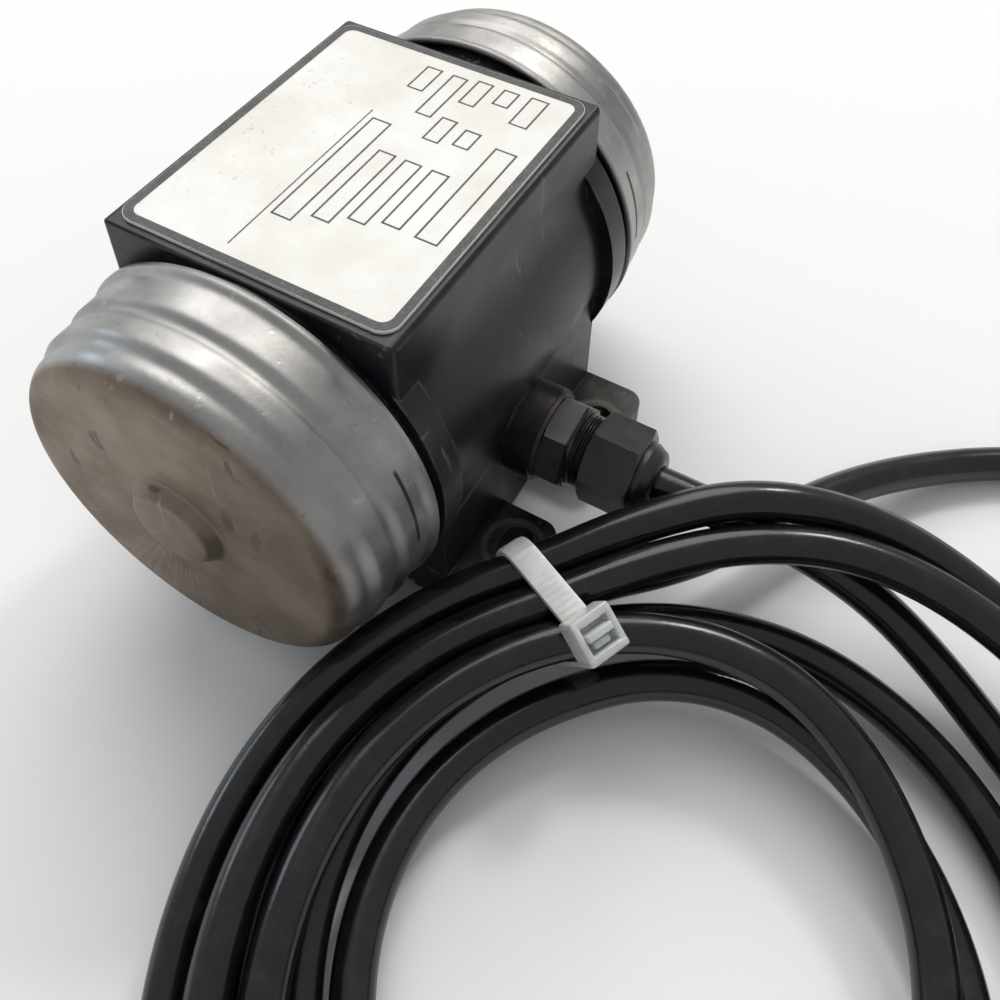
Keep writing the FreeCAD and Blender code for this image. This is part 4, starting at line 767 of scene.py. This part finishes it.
SLOTS = {
    "black_paint": black_paint(),
    "plate": plate_print(),
    "drawn_steel": drawn_steel(),
    "seal_rubber": plain("seal_rubber", (0.018, 0.018, 0.019), 0.55),
    "cast_aluminium": metal("cast_aluminium", (0.62, 0.62, 0.63), 0.45),
    "spring_steel": metal("spring_steel", (0.24, 0.24, 0.25), 0.34),
    "bearing_steel": metal("bearing_steel", (0.66, 0.67, 0.68), 0.16, tint=0.9),
    "cage_brass": metal("cage_brass", (0.66, 0.47, 0.20), 0.3),
    "turned_steel": metal("turned_steel", (0.54, 0.54, 0.54), 0.28, (1, 8, 1)),
    "screw_steel": metal("screw_steel", (0.09, 0.09, 0.10), 0.35),
    "laminations": laminations(),
    "enamelled_copper": wound_copper(),
    "capacitor_case": plain("capacitor_case", (0.60, 0.59, 0.55), 0.42, spread=1.15),
    "potting_resin": plain("potting_resin", (0.030, 0.028, 0.026), 0.32),
    "black_nylon": black_nylon(),
    "gland_seal": plain("gland_seal", (0.040, 0.026, 0.018), 0.5),
    "cable_sheath": cable_sheath(),
    "clear_nylon": clear_nylon(),
    "core_brown": plain("core_brown", (0.17, 0.065, 0.025), 0.35),
    "core_blue": plain("core_blue", (0.025, 0.09, 0.42), 0.35),
    "core_earth": earth_core(),
    "tinned_copper": metal("tinned_copper", (0.66, 0.66, 0.65), 0.24),
}


def dress(thing, material):
    """Gives a thing one material."""
    thing.data.materials.clear()
    thing.data.materials.append(material)


for part in frame["record"]["subparts"]:
    dress(frame["nodes"][part["node"]], SLOTS[part["material_slot"]])
dress(cable, SLOTS["cable_sheath"])
dress(tie, SLOTS["clear_nylon"])


# ---------------------------------------------------------------- print on the plate

# the plate's high corner; its low corner is across the middle from it
PLATE_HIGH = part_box("nameplate")[1] / MM
# widths of the border and of the other lines
BORDER = 1.6
LINE = 0.36
OUTER_CORNER = 3.0
INNER_CORNER = 1.8
CORNER_STEPS = 8
# the print stops just short of the plate's edge and lies just above the plate
INK_MARGIN = 0.05
INK_HEIGHT = 0.02
# empty boxes for the ratings: low and high corner along X and Y, in millimetres
FIELDS = [
    ((-4.9, -18.9), (-1.0, 9.3)),
    ((0.9, -16.4), (4.4, 2.6)),
    ((6.0, -14.0), (9.4, 2.6)),
    ((11.1, -12.2), (14.6, 2.6)),
    ((17.2, -12.4), (21.4, 12.6)),
    ((-4.9, 19.6), (-1.6, 26.8)),
    ((0.4, 14.0), (3.6, 26.8)),
    ((5.2, 8.6), (8.4, 15.4)),
    ((5.2, 20.2), (8.4, 27.6)),
    ((10.4, 9.6), (13.6, 14.4)),
    ((10.4, 22.8), (13.6, 27.6)),
    ((15.6, 19.4), (19.2, 28.0)),
]
# a thin line along one side of them
RULE = ((-6.2, -27.6), (-5.95, 11.0))


def add_strip(mesh, low, high, top):
    """A flat strip of ink between two corners."""
    corners = ((low[0], low[1]), (high[0], low[1]), (high[0], high[1]), (low[0], high[1]))
    mesh.faces.new([mesh.verts.new(Vector((x, y, top)) * MM) for x, y in corners])


def rounded_loop(mesh, half_x, half_y, corner, top):
    """Vertices round a rectangle with rounded corners."""
    loop = []
    for quarter, (sx, sy) in enumerate(((1, 1), (-1, 1), (-1, -1), (1, -1))):
        for step in range(CORNER_STEPS + 1):
            angle = math.pi / 2 * (quarter + step / CORNER_STEPS)
            x = sx * (half_x - corner) + corner * math.cos(angle)
            y = sy * (half_y - corner) + corner * math.sin(angle)
            loop.append(mesh.verts.new(Vector((x, y, top)) * MM))
    return loop


def make_print():
    """Ink on the plate: its border, a rule and the outlines of empty boxes."""
    data = bpy.data.meshes.new("plate_lines")
    mesh = bmesh.new()
    half_x, half_y, top = PLATE_HIGH + Vector((0, 0, INK_HEIGHT))
    outer = rounded_loop(mesh, half_x - INK_MARGIN, half_y - INK_MARGIN, OUTER_CORNER, top)
    inner = rounded_loop(mesh, half_x - BORDER, half_y - BORDER, INNER_CORNER, top)
    for i in range(len(outer)):
        after = (i + 1) % len(outer)
        mesh.faces.new((outer[i], outer[after], inner[after], inner[i]))
    for (x0, y0), (x1, y1) in FIELDS:
        add_strip(mesh, (x0, y0), (x0 + LINE, y1), top)
        add_strip(mesh, (x1 - LINE, y0), (x1, y1), top)
        add_strip(mesh, (x0 + LINE, y0), (x1 - LINE, y0 + LINE), top)
        add_strip(mesh, (x0 + LINE, y1 - LINE), (x1 - LINE, y1), top)
    add_strip(mesh, *RULE, top)
    mesh.to_mesh(data)
    mesh.free()
    lines = bpy.data.objects.new("plate_lines", data)
    bpy.context.scene.collection.objects.link(lines)
    dress(lines, plate_ink())
    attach(lines, "motor")


make_print()


# ---------------------------------------------------------------- floor and light


FLOOR_HALF = 4.0
FLOOR_Z = -0.0003
WORLD_STRENGTH = 0.5
# name, place, diameter, watts, colour
LAMPS = [
    ("soft_box", (-1.15, 1.25, 2.2), 2.4, 46.0, (1.0, 0.985, 0.96)),
    ("bulb", (0.17, 1.7, 1.9), 0.45, 15.0, (1.0, 0.96, 0.90)),
    ("window", (-2.1, -0.18, 0.85), 0.66, 4.6, (0.72, 0.85, 1.0)),
]
LAMP_TARGET = (0.04, -0.03, 0.03)


def make_floor():
    """A wide pale floor, just under the lugs."""
    data = bpy.data.meshes.new("floor")
    half = FLOOR_HALF
    corners = [(-half, -half, 0), (half, -half, 0), (half, half, 0), (-half, half, 0)]
    data.from_pydata(corners, [], [(0, 1, 2, 3)])
    floor = bpy.data.objects.new("floor", data)
    floor.location.z = FLOOR_Z
    bpy.context.scene.collection.objects.link(floor)
    m = Material("floor", (0.88, 0.88, 0.88), 0.75)
    m.feed("Base Color", m.mix(m.noise(9, 3.0), (0.885, 0.885, 0.885), (0.875, 0.875, 0.875)))
    m.set("Specular IOR Level", 0.15)
    dress(floor, m.made)


def make_lamp(name, place, size, watts, colour):
    """A round lamp that faces the object."""
    data = bpy.data.lights.new(name, "AREA")
    data.shape = "DISK"
    data.size = size
    data.energy = watts
    data.color = colour
    lamp = bpy.data.objects.new(name, data)
    lamp.location = place
    facing = Vector(LAMP_TARGET) - Vector(place)
    lamp.rotation_euler = facing.to_track_quat("-Z", "Y").to_euler()
    bpy.context.scene.collection.objects.link(lamp)


def make_world():
    """Pale light from all round."""
    world = bpy.data.worlds.new("world")
    bpy.context.scene.world = world
    world.use_nodes = True
    background = world.node_tree.nodes["Background"]
    background.inputs[0].default_value = (0.97, 0.98, 1.0, 1)
    background.inputs[1].default_value = WORLD_STRENGTH


make_floor()
make_world()
for lamp in LAMPS:
    make_lamp(*lamp)
bpy.context.scene.view_settings.view_transform = "Standard"
